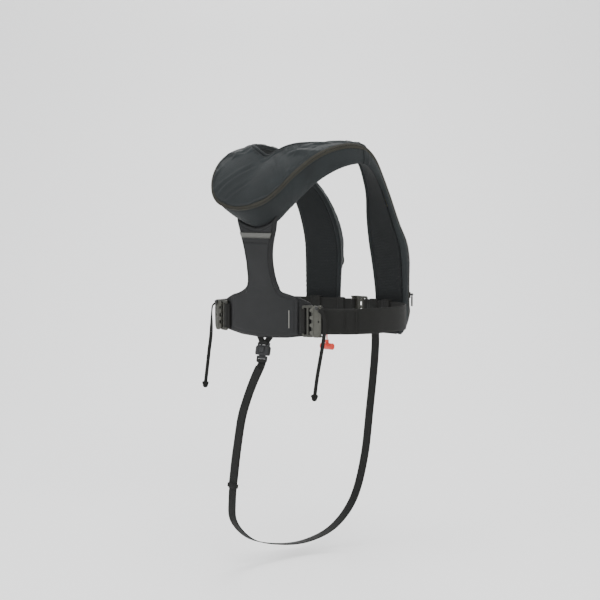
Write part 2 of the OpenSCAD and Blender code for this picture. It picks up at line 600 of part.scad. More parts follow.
// ---- Inflation gear in the left lobe, on an axis that leans with the lining.
gear_at = [84, -164, -226];
gear_lean = -7;
module gear() translate(gear_at) rotate([gear_lean, 0, 0]) children();
neck_r = 5.2;
lever_at = [9, -3, -22];
module inflator_body() color(moulded) gear() {
    difference() {
        translate([0, 0, -32]) linear_extrude(32) offset(3) offset(-3) square([28, 20], center = true);
        translate([0, 0, -7]) cylinder(h = 8, r = neck_r + 0.5, $fn = 48);
        translate([lever_at.x - 5, lever_at.y - 2, -40]) cube([20, 4, 26]);
    }
    translate(lever_at) rotate([90, 0, 0]) cylinder(h = 5, r = 1.6, center = true, $fn = 36);
}
module gas_cylinder() color([0.75, 0.76, 0.78]) gear() rotate_extrude($fn = 60)
    polygon([[0, -6], [neck_r, -6], [neck_r, 5], [7, 9], [cylinder_r - 1.5, 13], [cylinder_r, 17],
        [cylinder_r, 13 + cylinder_l - 9], [cylinder_r - 2, 13 + cylinder_l - 4],
        [cylinder_r - 6, 13 + cylinder_l - 1], [0, 13 + cylinder_l]]);
lever_l = 21;
module firing_lever() color([0.5, 0.05, 0.05]) gear() translate(lever_at) rotate([90, 0, 0])
    linear_extrude(3, center = true) difference() {
        union() {
            circle(4, $fn = 48);
            translate([0, -2.4]) square([lever_l, 4.8]);
            translate([lever_l, 0]) circle(2.4, $fn = 36);
        }
        circle(2, $fn = 48);
    }
// The cord leaves the lever's tip and goes out through the lobe's lower slit.
function gear_point(p) = gear_at + [p.x, p.y * cos(gear_lean) - p.z * sin(gear_lean),
    p.y * sin(gear_lean) + p.z * cos(gear_lean)];
lever_tip = gear_point(lever_at + [lever_l - 1, 0, -3.8]);
handle_at = [86, -151.8, -376];
HANDLE = [lever_tip, lever_tip - [0.5, 0, 14], [104, -161, -300], [95, -157, -324], [88, -152.1, -346], handle_at];
pull_cord_r = 1.4;
function round_ring(points, u, r, sides) =
    let (f = frame_at(points, u, across))
    [for (i = [0:sides - 1]) f[3] + r * (f[0] * sin(i * 360 / sides) + f[1] * cos(i * 360 / sides))];
module handle_cord() color([0.8, 0.1, 0.05])
    loft([for (i = [0:20]) round_ring(HANDLE, 5 * i / 20, pull_cord_r, 8)]);
module inflation_handle() color([0.8, 0.1, 0.05]) translate(handle_at - [0, 0, 0.4]) {
    translate([0, 0, -8]) cylinder(h = 8, r = 4, $fn = 30);
    translate([0, 0, -14]) rotate([0, 90, 0]) cylinder(h = 30, r = 7, center = true, $fn = 36);
}

// ---- Oral tube, whistle and light in the right lobe.
tube_at = [-92, -162, -250];
tube_lean = -8;
tube_l = 96;
module tube_frame() translate(tube_at) rotate([tube_lean, 0, 0]) children();
bore_r = oral_r - 1.4;
module oral_tube() color(moulded) tube_frame() difference() {
    union() {
        cylinder(h = tube_l, r = oral_r, $fn = 48);
        cylinder(h = 5, r = oral_r + 5, $fn = 48);
    }
    translate([0, 0, 2]) cylinder(h = tube_l, r = bore_r, $fn = 48);
}
module oral_valve() color([0.8, 0.1, 0.05]) tube_frame() translate([0, 0, tube_l - 8])
    cylinder(h = 7, r = bore_r - 0.4, $fn = 36);
module oral_cap() color([0.1, 0.1, 0.1]) tube_frame() translate([0, 0, tube_l - 9]) difference() {
    cylinder(h = 13, r = oral_r + 2, $fn = 48);
    translate([0, 0, -1]) cylinder(h = 11.5, r = oral_r + 0.4, $fn = 48);
}
module whistle() color([0.85, 0.45, 0.05]) translate([-72, -160, -214]) rotate([tube_lean, 0, 0]) difference() {
    union() {
        translate([-6, -4, 0]) cube([12, 8, 26]);
        translate([0, -0, 0]) rotate([0, 90, 0]) cylinder(h = 12, r = 7, center = true, $fn = 36);
    }
    translate([-4.4, -2.6, 8]) cube([8.8, 5.2, 20]);
    translate([0, -5, 12]) cube([8.8, 6, 3], center = true);
}
light_at = [-112, -158, -236];
module rescue_light() color([0.85, 0.85, 0.82]) translate(light_at) rotate([tube_lean, 0, 0])
    translate([0, 0, -22]) linear_extrude(44) offset(2) offset(-2) square([13, 13], center = true);
module light_lens() color([1, 1, 0.95, 0.5]) translate(light_at) rotate([tube_lean, 0, 0])
    translate([0, 0, 22.4]) rotate_extrude($fn = 40)
        polygon([[0, 0], [5.6, 0], [5.6, 5], [4.6, 8], [2.6, 9.6], [0, 10.2]]);

collar_part(0, 6);  // collar_cover
left_lobe_cover();
right_part(0, 6);  // right_lobe_cover
collar_part(1, 3);  // collar_side_wall
left_part(1, 3);  // left_lobe_side_wall
right_part(1, 3);  // right_lobe_side_wall
collar_part(2, 2);  // collar_lining
left_part(2, 2);  // left_lobe_lining
right_part(2, 2);  // right_lobe_lining
burst_zip();
neck_binding();
bladder();
spine_panel();
spine_band();
lumbar_pad();
lumbar_cover();
lumbar_tick();
rear_left() hook_frame();  // left_frame
rear_right() hook_frame();  // right_frame
rear_left() frame_loop();  // left_frame_loop
rear_right() frame_loop();  // right_frame_loop
rear_left() hook_plate();  // left_hook_plate
rear_right() hook_plate();  // right_hook_plate
left_belt();
right_belt();
front_set() hook_frame();  // front_frame
front_set() hook_plate();  // front_hook_plate
left_belt_keeper();
right_belt_keeper();
tether_ring();
tether_ring_strap();
left_release_cord();
right_release_cord();
left_cord_knot();
right_cord_knot();
crotch_anchor();
crotch_buckle_body();
crotch_buckle_tongue();
crotch_buckle_button();
crotch_strap();
crotch_strap_tail();
crotch_tail_keeper();
left_zip_slider();
left_zip_pull();
right_zip_slider();
right_zip_pull();
inflator_body();
gas_cylinder();
firing_lever();
inflation_handle();
handle_cord();
status_window_bezel();
status_window_lens();
oral_tube();
oral_valve();
oral_cap();
whistle();
rescue_light();
light_lens();
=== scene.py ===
"""Inflatable life jacket: cloth, webbing, buckles and a plain stage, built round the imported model."""

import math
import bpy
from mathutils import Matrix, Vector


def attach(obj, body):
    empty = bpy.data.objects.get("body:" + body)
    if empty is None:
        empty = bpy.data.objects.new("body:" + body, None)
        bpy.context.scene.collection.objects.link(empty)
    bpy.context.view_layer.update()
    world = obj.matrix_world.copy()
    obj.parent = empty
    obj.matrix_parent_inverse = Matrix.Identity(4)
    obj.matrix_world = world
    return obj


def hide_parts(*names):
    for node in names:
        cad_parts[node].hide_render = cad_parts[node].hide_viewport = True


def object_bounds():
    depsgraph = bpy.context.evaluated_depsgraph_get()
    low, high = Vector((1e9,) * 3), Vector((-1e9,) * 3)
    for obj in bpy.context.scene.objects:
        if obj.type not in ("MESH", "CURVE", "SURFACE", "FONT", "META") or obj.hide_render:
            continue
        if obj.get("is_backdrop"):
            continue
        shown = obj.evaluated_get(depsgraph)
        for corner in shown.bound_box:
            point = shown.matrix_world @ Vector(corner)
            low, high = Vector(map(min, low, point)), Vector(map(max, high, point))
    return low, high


bl_info = {
    "name": "Inflatable Life Jacket",
    "version": (1, 0, 0),
    "blender": (4, 5, 0),
    "location": "3D View > Sidebar > Life Jacket",
    "description": "Builds a life jacket's covers, webbing, hardware and stage round its packed frame",
    "category": "Object",
}

import bmesh
import bpy
import numpy as np
from bpy.props import FloatProperty, FloatVectorProperty, PointerProperty
from mathutils import Matrix, Vector

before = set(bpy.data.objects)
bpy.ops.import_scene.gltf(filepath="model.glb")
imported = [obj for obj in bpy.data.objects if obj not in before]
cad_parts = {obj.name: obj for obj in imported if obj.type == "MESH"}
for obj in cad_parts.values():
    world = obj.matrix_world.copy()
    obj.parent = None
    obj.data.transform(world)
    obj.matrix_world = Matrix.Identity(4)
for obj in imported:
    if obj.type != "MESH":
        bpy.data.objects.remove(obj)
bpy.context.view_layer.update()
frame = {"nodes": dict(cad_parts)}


# ---------------------------------------------------------------- settings


def length(name, default, description, low=0.0, high=1.0):
    """A length setting in metres."""
    return FloatProperty(
        name=name, default=default, description=description, min=low, max=high, unit="LENGTH", precision=4
    )


def colour(name, default, description):
    """A colour setting."""
    return FloatVectorProperty(
        name=name, default=default, description=description, subtype="COLOR", size=3, min=0.0, max=1.0
    )


class JacketSizes(bpy.types.PropertyGroup):
    """Sizes of the cloth, webbing and trim."""

    cloth: length("Cloth thickness", 0.0014, "Thickness of the cover laminate", 0.0005, 0.003)
    puff: length("Puff", 0.0035, "How far the folded bladder lifts the covers", 0.0, 0.006)
    pucker: length("Pucker", 0.0007, "Height of the gathers beside a seam", 0.0, 0.002)
    belt: length("Belt webbing", 0.048, "Width of the waist webbing", 0.04, 0.05)
    strap: length("Crotch webbing", 0.020, "Width of the crotch strap webbing", 0.016, 0.022)
    tape: length("Release tape", 0.007, "Width of the release cords' flat tape", 0.005, 0.009)
    teeth: length("Zip pitch", 0.0024, "Distance between two zip coils", 0.0015, 0.004)
    edge: length("Edge rounding", 0.0007, "Rounding on the edges of metal pieces", 0.0002, 0.0015)


class JacketColours(bpy.types.PropertyGroup):
    """Colours of the finishes."""

    cloth: colour("Cover cloth", (0.0165, 0.0195, 0.0205), "Charcoal of the covers")
    laminate: colour("Laminate", (0.0135, 0.0140, 0.0145), "Charcoal of the back panel")
    webbing: colour("Webbing", (0.0090, 0.0092, 0.0086), "Near-black of the webbing")
    zip: colour("Zip tape", (0.026, 0.025, 0.020), "Olive grey of the zip tape")
    plate: colour("Hook plate", (0.072, 0.072, 0.062), "Olive grey of the blasted hook plates")
    frame: colour("Buckle frame", (0.040, 0.040, 0.034), "Dark olive coating of the buckle frames")
    plastic: colour("Moulded plastic", (0.013, 0.0135, 0.014), "Black of the moulded pieces")
    bladder: colour("Bladder", (0.72, 0.56, 0.03), "Yellow of the bladder cloth")
    handle: colour("Pull handle", (0.55, 0.03, 0.015), "Red of the pull handle")


def sizes():
    return bpy.context.scene.jacket_sizes


def colours():
    return bpy.context.scene.jacket_colours


# ---------------------------------------------------------------- shader maths


class Value:
    """A shader socket that takes part in Python sums."""

    def __init__(self, finish, socket):
        self.finish, self.socket = finish, socket

    def _math(self, operation, *operands):
        return self.finish.add("ShaderNodeMath", {"operation": operation}, dict(enumerate(operands)))

    def __add__(self, other):
        return self._math("ADD", self, other)

    def __sub__(self, other):
        return self._math("SUBTRACT", self, other)

    def __rsub__(self, other):
        return self._math("SUBTRACT", other, self)

    def __mul__(self, other):
        return self._math("MULTIPLY", self, other)

    def __truediv__(self, other):
        return self._math("DIVIDE", self, other)

    def __mod__(self, other):
        return self._math("FLOORED_MODULO", self, other)

    def __abs__(self):
        return self._math("ABSOLUTE", self)

    def __lt__(self, other):
        return self._math("LESS_THAN", self, other)

    def __gt__(self, other):
        return self._math("GREATER_THAN", self, other)

    __radd__ = __add__
    __rmul__ = __mul__

    def floor(self):
        return self._math("FLOOR", self)

    def sine(self):
        return self._math("SINE", self)

    def lowest(self, other):
        return self._math("MINIMUM", self, other)

    def highest(self, other):
        return self._math("MAXIMUM", self, other)

    def clamp(self):
        return self.highest(0.0).lowest(1.0)

    def smooth(self, low, high):
        """0 below low, 1 above high, with a soft step between."""
        return self.finish.add(
            "ShaderNodeMapRange", {"interpolation_type": "SMOOTHSTEP"}, {0: self, 1: low, 2: high}
        )


class Finish:
    """One material, made from its shader's own values and a few added nodes."""

    def __init__(self, name, **fixed):
        self.material = bpy.data.materials.new(name)
        self.material.use_nodes = True
        self.tree = self.material.node_tree
        self.shader = self.tree.nodes["Principled BSDF"]
        self.set(**{key.replace("_", " "): value for key, value in fixed.items()})

    def set(self, **values):
        """Gives the shader's sockets numbers, colours or links."""
        for key, value in values.items():
            self._give(self.shader.inputs[key.replace("_", " ")], value)
        return self

    def _give(self, socket, value):
        if isinstance(value, Value):
            self.tree.links.new(value.socket, socket)
        elif hasattr(value, "__len__") and socket.type == "RGBA" and len(value) == 3:
            socket.default_value = (*value, 1.0)
        else:
            socket.default_value = value

    def add(self, kind, settings=None, inputs=None, output=0):
        """Adds a node: its settings first, then its sockets' values or links."""
        node = self.tree.nodes.new(kind)
        for key, value in (settings or {}).items():
            if key == "stops":
                ramp = node.color_ramp
                while len(ramp.elements) < len(value):
                    ramp.elements.new(0.5)
                for element, (place, shade) in zip(ramp.elements, value):
                    element.position, element.color = place, (*shade, 1.0)
            else:
                setattr(node, key, value)
        for key, value in (inputs or {}).items():
            self._give(node.inputs[key], value)
        return Value(self, node.outputs[output])

    def where(self, scale=1.0, kind="Object"):
        """The place on the piece, in metres times scale."""
        place = self.add("ShaderNodeTexCoord", output=kind)
        return self.add(
            "ShaderNodeVectorMath", {"operation": "SCALE"}, {0: place, "Scale": scale}
        )

    def strip(self):
        """Metres across and along a strip of cloth or webbing."""
        place = self.add("ShaderNodeUVMap", {"uv_map": "strip"})
        split = self.add("ShaderNodeSeparateXYZ", {}, {0: place})
        return split, Value(self, split.socket.node.outputs[1])

    def noise(self, scale, detail=3.0, rough=0.5, kind="Object"):
        return self.add(
            "ShaderNodeTexNoise", {}, {
                "Vector": self.where(1.0, kind), "Scale": scale, "Detail": detail, "Roughness": rough
            }
        )

    def mix(self, factor, low, high):
        """A colour between two colours."""
        return self.add(
            "ShaderNodeMix", {"data_type": "RGBA"}, {0: factor, 6: low, 7: high}, 2
        )

    def bump(self, height, distance, strength=1.0, under=None):
        inputs = {"Height": height, "Distance": distance, "Strength": strength}
        if under is not None:
            inputs["Normal"] = under
        return self.add("ShaderNodeBump", {}, inputs)


def shade(value, factor):
    """A colour made lighter or darker."""
    return tuple(min(1.0, c * factor) for c in value)


def cloth_finish(name, value, pitch=0.0009, sheen=0.03, rough=0.74, coat=0.0):
    """A plain-woven laminate: fine ribs both ways, mottled dye and soft handling marks."""
    f = Finish(name)
    across, along = f.strip()
    ribs = (across * (2 * math.pi / pitch)).sine() * (along * (2 * math.pi / pitch)).sine()
    mottle = f.noise(26.0, 4.0)
    cloud = f.noise(7.0, 2.0)
    fibre = f.noise(900.0, 2.0, 0.6)
    tone = (mottle * 0.5 + cloud * 0.5).smooth(0.34, 0.66)
    f.set(
        Base_Color=f.mix(tone * 0.75 + fibre * 0.25, shade(value, 0.80), shade(value, 1.22)),
        Roughness=rough - 0.10 + mottle * 0.14 + fibre * 0.06,
        Normal=f.bump(ribs * 0.5 + fibre * 0.5, 0.00016, 0.8, f.bump(mottle, 0.0012, 0.35)),
        Specular_IOR_Level=0.14,
        Sheen_Weight=sheen,
        Sheen_Roughness=0.45,
        Coat_Weight=coat,
    )
    return f.material


def laminate_finish(name, value):
    """A bonded laminate over foam: smooth, slightly satin, with a fine grain and rubbed patches."""
    f = Finish(name)
    grain = f.noise(1400.0, 2.0, 0.6)
    rub = f.noise(11.0, 5.0, 0.6)
    cells = f.add("ShaderNodeTexVoronoi", {"feature": "F1"}, {"Vector": f.where(), "Scale": 620.0})
    worn = rub.smooth(0.45, 0.75)
    f.set(
        Base_Color=f.mix(worn * 0.7 + grain * 0.3, shade(value, 0.86), shade(value, 1.28)),
        Roughness=0.50 + grain * 0.10 + worn * 0.08,
        Normal=f.bump(cells * 0.6 + grain * 0.4, 0.00018, 0.7, f.bump(rub, 0.0014, 0.25)),
        Specular_IOR_Level=0.16,
        Sheen_Weight=0.02,
    )
    return f.material


def webbing_finish(name, value, rib=0.0022, half=0.024):
    """Heavy woven webbing: chevron ribs, a thicker selvedge and fine yarn, with painted shade between the ribs and
    painted highlight on their crests.
    """
    f = Finish(name)
    across, along = f.strip()
    chevron = abs((across / rib) % 2.0 - 1.0)
    wave = ((along / rib + chevron * 0.9) * (2 * math.pi)).sine() * 0.5 + 0.5
    edge = (abs(across) / half).smooth(0.86, 0.96)
    yarn = f.noise(1500.0, 2.0, 0.65)
    wear = f.noise(18.0, 4.0, 0.6)
    # The rib wave in the colour is painted light: crests are painted lighter and troughs darker, following the bump.
    # Yarn and wear are the webbing's own tone.
    light = (wave * 0.45 + yarn * 0.25 + wear * 0.3).clamp()
    f.set(
        Base_Color=f.mix(light, shade(value, 0.68), shade(value, 1.65)),
        Roughness=0.74 - wave * 0.12 + yarn * 0.08,
        Normal=f.bump(wave * (1.0 - edge) + yarn * 0.35 + edge * 0.5, 0.00035, 0.9),
        Specular_IOR_Level=0.14,
        Sheen_Weight=0.03,
        Sheen_Roughness=0.4,
    )
    return f.material


def metal_finish(name, value, metallic=0.85, rough=0.42, blast=0.0002):
    """Blasted or coated metal: fine speckle, cloudy sheen and a few rubbed marks."""
    f = Finish(name)
    speck = f.noise(2600.0, 2.0, 0.7)
    cloud = f.noise(40.0, 4.0, 0.6)
    rub = f.noise(160.0, 6.0, 0.75).smooth(0.60, 0.72)
    f.set(
        Base_Color=f.mix(cloud * 0.6 + rub * 0.5, shade(value, 0.85), shade(value, 1.35)),
        Metallic=metallic - rub * 0.05,
        Roughness=rough + speck * 0.12 - rub * 0.10,
        Normal=f.bump(speck, blast, 0.6),
    )
    return f.material


def plastic_finish(name, value, rough=0.45, grain=0.00012, coat=0.0):
    """Moulded plastic with a spark-eroded grain and scuffs."""
    f = Finish(name)
    spark = f.noise(1800.0, 2.0, 0.6)
    scuff = f.noise(55.0, 6.0, 0.7).smooth(0.52, 0.74)
    f.set(
        Base_Color=f.mix(scuff, shade(value, 0.92), shade(value, 1.5)),
        Roughness=rough + spark * 0.10 + scuff * 0.10,
        Normal=f.bump(spark, grain, 0.6),
        Specular_IOR_Level=0.25,
        Coat_Weight=coat,
    )
    return f.material


def glass_finish(name, value, alpha):
    """A clear moulded window with a faint haze."""
    f = Finish(name, Transmission_Weight=0.9, IOR=1.45)
    haze = f.noise(90.0, 3.0)
    f.set(Base_Color=f.mix(haze, value, shade(value, 0.94)), Roughness=0.06 + haze * 0.08, Alpha=alpha)
    return f.material


def mesh_finish(name, value):
    """Knitted spacer mesh with round holes, each hole painted dark as painted shade."""
    f = Finish(name)
    across, along = f.strip()
    row = (along / 0.0032).floor()
    dx = abs(((across / 0.0037 + row * 0.5) % 1.0) - 0.5)
    dy = abs(((along / 0.0032) % 1.0) - 0.5)
    far = f.add("ShaderNodeMath", {"operation": "SQRT"}, {0: dx * dx + dy * dy})
    yarn = f.noise(1300.0, 2.0, 0.6)
    ring = far.smooth(0.22, 0.36)
    # The holes get painted shade: dark colour where the ring mask dips, as the bump does.
    f.set(
        Base_Color=f.mix(ring * 0.8 + yarn * 0.2, shade(value, 0.35), shade(value, 1.25)),
        Roughness=0.8 - ring * 0.1,
        Normal=f.bump(ring + yarn * 0.3, 0.0005, 0.9),
        Specular_IOR_Level=0.15,
        Sheen_Weight=0.04,
    )
    return f.material


def reflective_finish(name, value):
    """Reflective film in a fine diamond grid, satin at most angles."""
    f = Finish(name, Coat_Weight=0.4, Coat_Roughness=0.15)
    x, y = f.strip()
    a = abs(((x + y) / 0.0022) % 1.0 - 0.5)
    b = abs(((x - y) / 0.0022) % 1.0 - 0.5)
    line = a.lowest(b).smooth(0.03, 0.10)
    cloud = f.noise(60.0, 3.0)
    f.set(
        Base_Color=f.mix(line * 0.8 + cloud * 0.2, shade(value, 0.55), shade(value, 1.25)),
        Metallic=0.35 + line * 0.2,
        Roughness=0.30 + cloud * 0.14,
        Normal=f.bump(line, 0.0001, 0.5),
    )
    return f.material


FINISHES = {}


def finish(name):
    """The material of that name, made once."""
    if name not in FINISHES:
        c = colours()
        makers = {
            "cover_cloth": lambda: cloth_finish("cover_cloth", c.cloth),
            "wall_cloth": lambda: cloth_finish("wall_cloth", shade(c.cloth, 0.86)),
            "binding": lambda: cloth_finish("binding", shade(c.cloth, 0.75), 0.0014),
            "bladder_cloth": lambda: cloth_finish("bladder_cloth", c.bladder, 0.0007, 0.05, 0.5, 0.15),
            "lining_mesh": lambda: mesh_finish("lining_mesh", shade(c.cloth, 0.5)),
            "laminate": lambda: laminate_finish("laminate", c.laminate),
            "pad_foam": lambda: laminate_finish("pad_foam", shade(c.laminate, 0.6)),
            "reflective": lambda: reflective_finish("reflective", (0.050, 0.050, 0.043)),
            "webbing": lambda: webbing_finish("webbing", c.webbing),
            "narrow_webbing": lambda: webbing_finish("narrow_webbing", shade(c.webbing, 1.1), 0.0016, 0.010),
            "tape": lambda: webbing_finish("tape", shade(c.webbing, 0.9), 0.0012, 0.0035),
            "zip_tape": lambda: webbing_finish("zip_tape", c.zip, 0.0012, 0.004),
            "zip_coil": lambda: plastic_finish("zip_coil", shade(c.zip, 0.7), 0.4),
            "thread": lambda: plastic_finish("thread", shade(c.webbing, 2.2), 0.65),
            "plate": lambda: metal_finish("plate", c.plate, 0.75, 0.40),
            "frame": lambda: metal_finish("frame", c.frame, 0.55, 0.38),
            "black_metal": lambda: metal_finish("black_metal", (0.03, 0.03, 0.03), 0.6, 0.35),
            "steel": lambda: metal_finish("steel", (0.58, 0.58, 0.57), 1.0, 0.2, 0.00005),
            "zinc": lambda: metal_finish("zinc", (0.56, 0.57, 0.58), 1.0, 0.3, 0.0001),
            "plastic": lambda: plastic_finish("plastic", c.plastic),
            "button_plastic": lambda: plastic_finish("button_plastic", shade(c.plastic, 1.4), 0.38),
            "handle_plastic": lambda: plastic_finish("handle_plastic", c.handle, 0.35, 0.0001, 0.3),
            "lever_plastic": lambda: plastic_finish("lever_plastic", shade(c.handle, 0.7), 0.4),
            "orange_plastic": lambda: plastic_finish("orange_plastic", (0.75, 0.2, 0.02), 0.35, 0.0001, 0.3),
            "white_plastic": lambda: plastic_finish("white_plastic", (0.7, 0.7, 0.68), 0.35, 0.0001, 0.2),
            "index_paint": lambda: plastic_finish("index_paint", (0.24, 0.24, 0.22), 0.5),
            "clear": lambda: glass_finish("clear", (0.85, 0.92, 0.92), 0.4),
            "red_cord": lambda: webbing_finish("red_cord", c.handle, 0.0014, 0.002),
        }
        FINISHES[name] = makers[name]()
    return FINISHES[name]


def paint(piece, name):
    """Gives a piece, or a node of the frame, one finish in all its slots."""
    slots = piece.material_slots
    if not slots:
        piece.data.materials.append(finish(name))
    for slot in slots:
        slot.material = finish(name)
    return piece


# ---------------------------------------------------------------- making meshes


def unit(v):
    return v / np.maximum(np.linalg.norm(v, axis=-1, keepdims=True), 1e-12)


def new_piece(name, points, faces, material, body, nodes=(), slot=None, uv=None, smooth=True):
    """A mesh piece that rides on a body and stands for the nodes it replaces.

    uv gives each point's place on its strip.
    """
    mesh = bpy.data.meshes.new(name)
    mesh.from_pydata([tuple(p) for p in points], [], [tuple(f) for f in faces])
    if uv is not None:
        layer = mesh.uv_layers.new(name="strip")
        index = np.empty(len(mesh.loops), np.int32)
        mesh.loops.foreach_get("vertex_index", index)
        layer.data.foreach_set("uv", np.asarray(uv, np.float32)[index].ravel())
    return mesh_piece(name, mesh, material, body, nodes, slot, smooth)


def mesh_piece(name, mesh, material, body, nodes=(), slot=None, smooth=True):
    """Makes the object for a finished mesh."""
    mesh.validate()
    piece = bpy.data.objects.new(name, mesh)
    bpy.context.scene.collection.objects.link(piece)
    if not mesh.materials:
        mesh.materials.append(finish(material))
    mesh.shade_smooth() if smooth else mesh.shade_flat()
    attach(piece, body)
    if nodes:
        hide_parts(*nodes)
        slot or nodes[0]
    return piece


def lattice(rows, columns, around=False, ends=False, turn=False):
    """Faces between the points of a grid of rows; around joins its last column to its first."""
    faces = []
    last = columns if around else columns - 1
    for r in range(rows - 1):
        for c in range(last):
            d = (c + 1) % columns
            face = (r * columns + c, r * columns + d, (r + 1) * columns + d, (r + 1) * columns + c)
            faces.append(face[::-1] if turn else face)
    if ends:
        first, end = tuple(range(columns)), tuple((rows - 1) * columns + c for c in range(columns))
        faces += [first[::-1], end] if not turn else [first, end[::-1]]
    return faces


def grid_normals(grid):
    du, dv = np.gradient(grid, axis=0), np.gradient(grid, axis=1)
    return unit(np.cross(du, dv))


def sheet_piece(name, grid, thick, material, body, nodes=(), slot=None, inward=1.0):
    """A closed sheet of cloth: grid is its outer face, and its inner one lies a thickness within."""
    rows, columns = grid.shape[:2]
    normal = grid_normals(grid) * inward
    inner = grid - normal * thick
    points = np.concatenate([grid.reshape(-1, 3), inner.reshape(-1, 3)])
    step = rows * columns
    faces = lattice(rows, columns, turn=inward < 0)
    faces += [tuple(i + step for i in f[::-1]) for f in faces]
    rim = [r * columns for r in range(rows)] + [(rows - 1) * columns + c for c in range(1, columns)]
    rim += [r * columns + columns - 1 for r in range(rows - 2, -1, -1)] + list(range(columns - 2, 0, -1))
    for a, b in zip(rim, rim[1:] + rim[:1]):
        face = (a, b, b + step, a + step)
        faces.append(face if inward > 0 else face[::-1])
    along = np.concatenate([[0], np.cumsum(np.linalg.norm(np.diff(grid[:, columns // 2], axis=0), axis=1))])
    across = np.concatenate([[0], np.cumsum(np.linalg.norm(np.diff(grid[rows // 2], axis=0), axis=1))])
    uv = np.stack(np.broadcast_arrays(across[None, :], along[:, None]), -1).reshape(-1, 2)
    return new_piece(name, points, faces, material, body, nodes, slot, np.concatenate([uv, uv]))


def tangents(path, closed=False):
    if closed:
        return unit(np.roll(path, -1, 0) - np.roll(path, 1, 0))
    return unit(np.gradient(path, axis=0))


def tube_piece(name, path, outline, side, material, body, nodes=(), slot=None, closed=False, scale=None):
    """Sweeps an outline, in metres across and out, along a path. side is the across direction."""
    path = np.asarray(path, float)
    t = tangents(path, closed)
    side = np.broadcast_to(np.asarray(side, float), path.shape)
    side = unit(side - t * (t * side).sum(1, keepdims=True))
    out = np.cross(side, t)
    outline = np.asarray(outline, float)
    shape = np.broadcast_to(outline, (len(path), *outline.shape))
    if scale is not None:
        shape = shape * np.asarray(scale)[:, None, None]
    points = path[:, None] + side[:, None] * shape[..., :1] + out[:, None] * shape[..., 1:]
    rows, columns = points.shape[:2]
    steps = np.concatenate([[0], np.cumsum(np.linalg.norm(np.diff(path, axis=0), axis=1))])
    uv = np.stack(np.broadcast_arrays(outline[None, :, 0], steps[:, None]), -1).reshape(-1, 2)
    faces = lattice(rows, columns, True, not closed, True)
    if closed:
        last = (rows - 1) * columns
        faces += [(last + c, c, (c + 1) % columns, last + (c + 1) % columns) for c in range(columns)]
    return new_piece(name, points.reshape(-1, 3), faces, material, body, nodes, slot, uv)


def webbing_outline(width, thick, steps=10):
    """A strap's cross-section: a flat weave with slightly fuller selvedges."""
    x = np.linspace(-1, 1, steps + 1)
    full = 0.88 + 0.12 * np.clip((np.abs(x) - 0.8) / 0.12, 0, 1)
    full *= np.sqrt(np.clip(1.02 - np.clip((np.abs(x) - 0.965) / 0.035, 0, 1) ** 2, 0.25, 1))
    top = np.stack([x * width / 2, full * thick / 2], 1)
    bottom = np.stack([x[::-1] * width / 2, -full[::-1] * thick / 2], 1)
    return np.concatenate([top, bottom])[::-1]


def ring_outline(radius, sides=12, flat=1.0):
    a = np.linspace(0, 2 * math.pi, sides, endpoint=False)
    return np.stack([radius * np.cos(a), radius * flat * np.sin(a)], 1)[::-1]


def catmull(points, per=6, closed=False):
    """A smooth curve through points, with even steps between each two."""
    points = np.asarray(points, float)
    n = len(points) if closed else len(points) - 1
    u = np.linspace(0, n, n * per, endpoint=False) if closed else np.linspace(0, n, n * per + 1)
    if closed:
        points = np.concatenate([points, points[:3]])
        return spline(np.concatenate([points[n - 1 : n], points]), u + 1)
    return spline(points, u)


def spline(points, u):
    """A Catmull-Rom spline, as in the frame, at u steps from its first point."""
    u = np.atleast_1d(np.asarray(u, float))
    n = len(points) - 1
    i = np.clip(np.floor(u).astype(int), 0, n - 1)
    t = (u - i).reshape((-1,) + (1,) * (points.ndim - 1))
    a, b = points[np.maximum(i - 1, 0)], points[i]
    c, d = points[i + 1], points[np.minimum(i + 2, n)]
    return 0.5 * (2 * b + (c - a) * t + (2 * a - 5 * b + 4 * c - d) * t**2 + (3 * b - a - 3 * c + d) * t**3)


def even(path, step):
    """The same path with points a step apart."""
    path = np.asarray(path, float)
    s = np.concatenate([[0], np.cumsum(np.linalg.norm(np.diff(path, axis=0), axis=1))])
    count = max(2, int(round(s[-1] / step)) + 1)
    t = np.linspace(0, s[-1], count)
    return np.stack([np.interp(t, s, path[:, k]) for k in range(path.shape[1])], 1)


def plate_mesh(outline, holes, thick, edge, corner=0.0):
    """A flat plate with holes and rounded edges, in X and Y, with its middle at Z 0."""
    curve = bpy.data.curves.new("plate", "CURVE")
    curve.dimensions, curve.fill_mode = "2D", "BOTH"
    for ring in [outline, *holes]:
        line = curve.splines.new("POLY")
        line.points.add(len(ring) - 1)
        for point, (x, y) in zip(line.points, ring):
            point.co = (x, y, 0, 1)
        line.use_cyclic_u = True
    curve.extrude, curve.bevel_depth = thick / 2 - edge, edge
    curve.bevel_resolution, curve.offset = 2, -edge
    holder = bpy.data.objects.new("plate", curve)
    bpy.context.scene.collection.objects.link(holder)
    mesh = bpy.data.meshes.new_from_object(holder.evaluated_get(bpy.context.evaluated_depsgraph_get()))
    bpy.data.objects.remove(holder)
    bpy.data.curves.remove(curve)
    return mesh


def rounded(x0, y0, x1, y1, r, steps=5):
    """A rectangle's outline with round corners."""
    points = []
    for cx, cy, start in (
        (x1 - r, y1 - r, 0), (x0 + r, y1 - r, 90), (x0 + r, y0 + r, 180), (x1 - r, y0 + r, 270)
    ):
        for k in range(steps + 1):
            a = math.radians(start + 90 * k / steps)
            points.append((cx + r * math.cos(a), cy + r * math.sin(a)))
    return points


def join_bits(bits):
    """One mesh from several, each with its matrix."""
    bm = bmesh.new()
    for mesh, matrix in bits:
        mesh.transform(matrix)
        if matrix.determinant() < 0:
            mesh.flip_normals()
        bm.from_mesh(mesh)
        bpy.data.meshes.remove(mesh)
    bmesh.ops.remove_doubles(bm, verts=bm.verts, dist=1e-6)
    bmesh.ops.recalc_face_normals(bm, faces=bm.faces)
    out = bpy.data.meshes.new("joined")
    bm.to_mesh(out)
    bm.free()
    return out


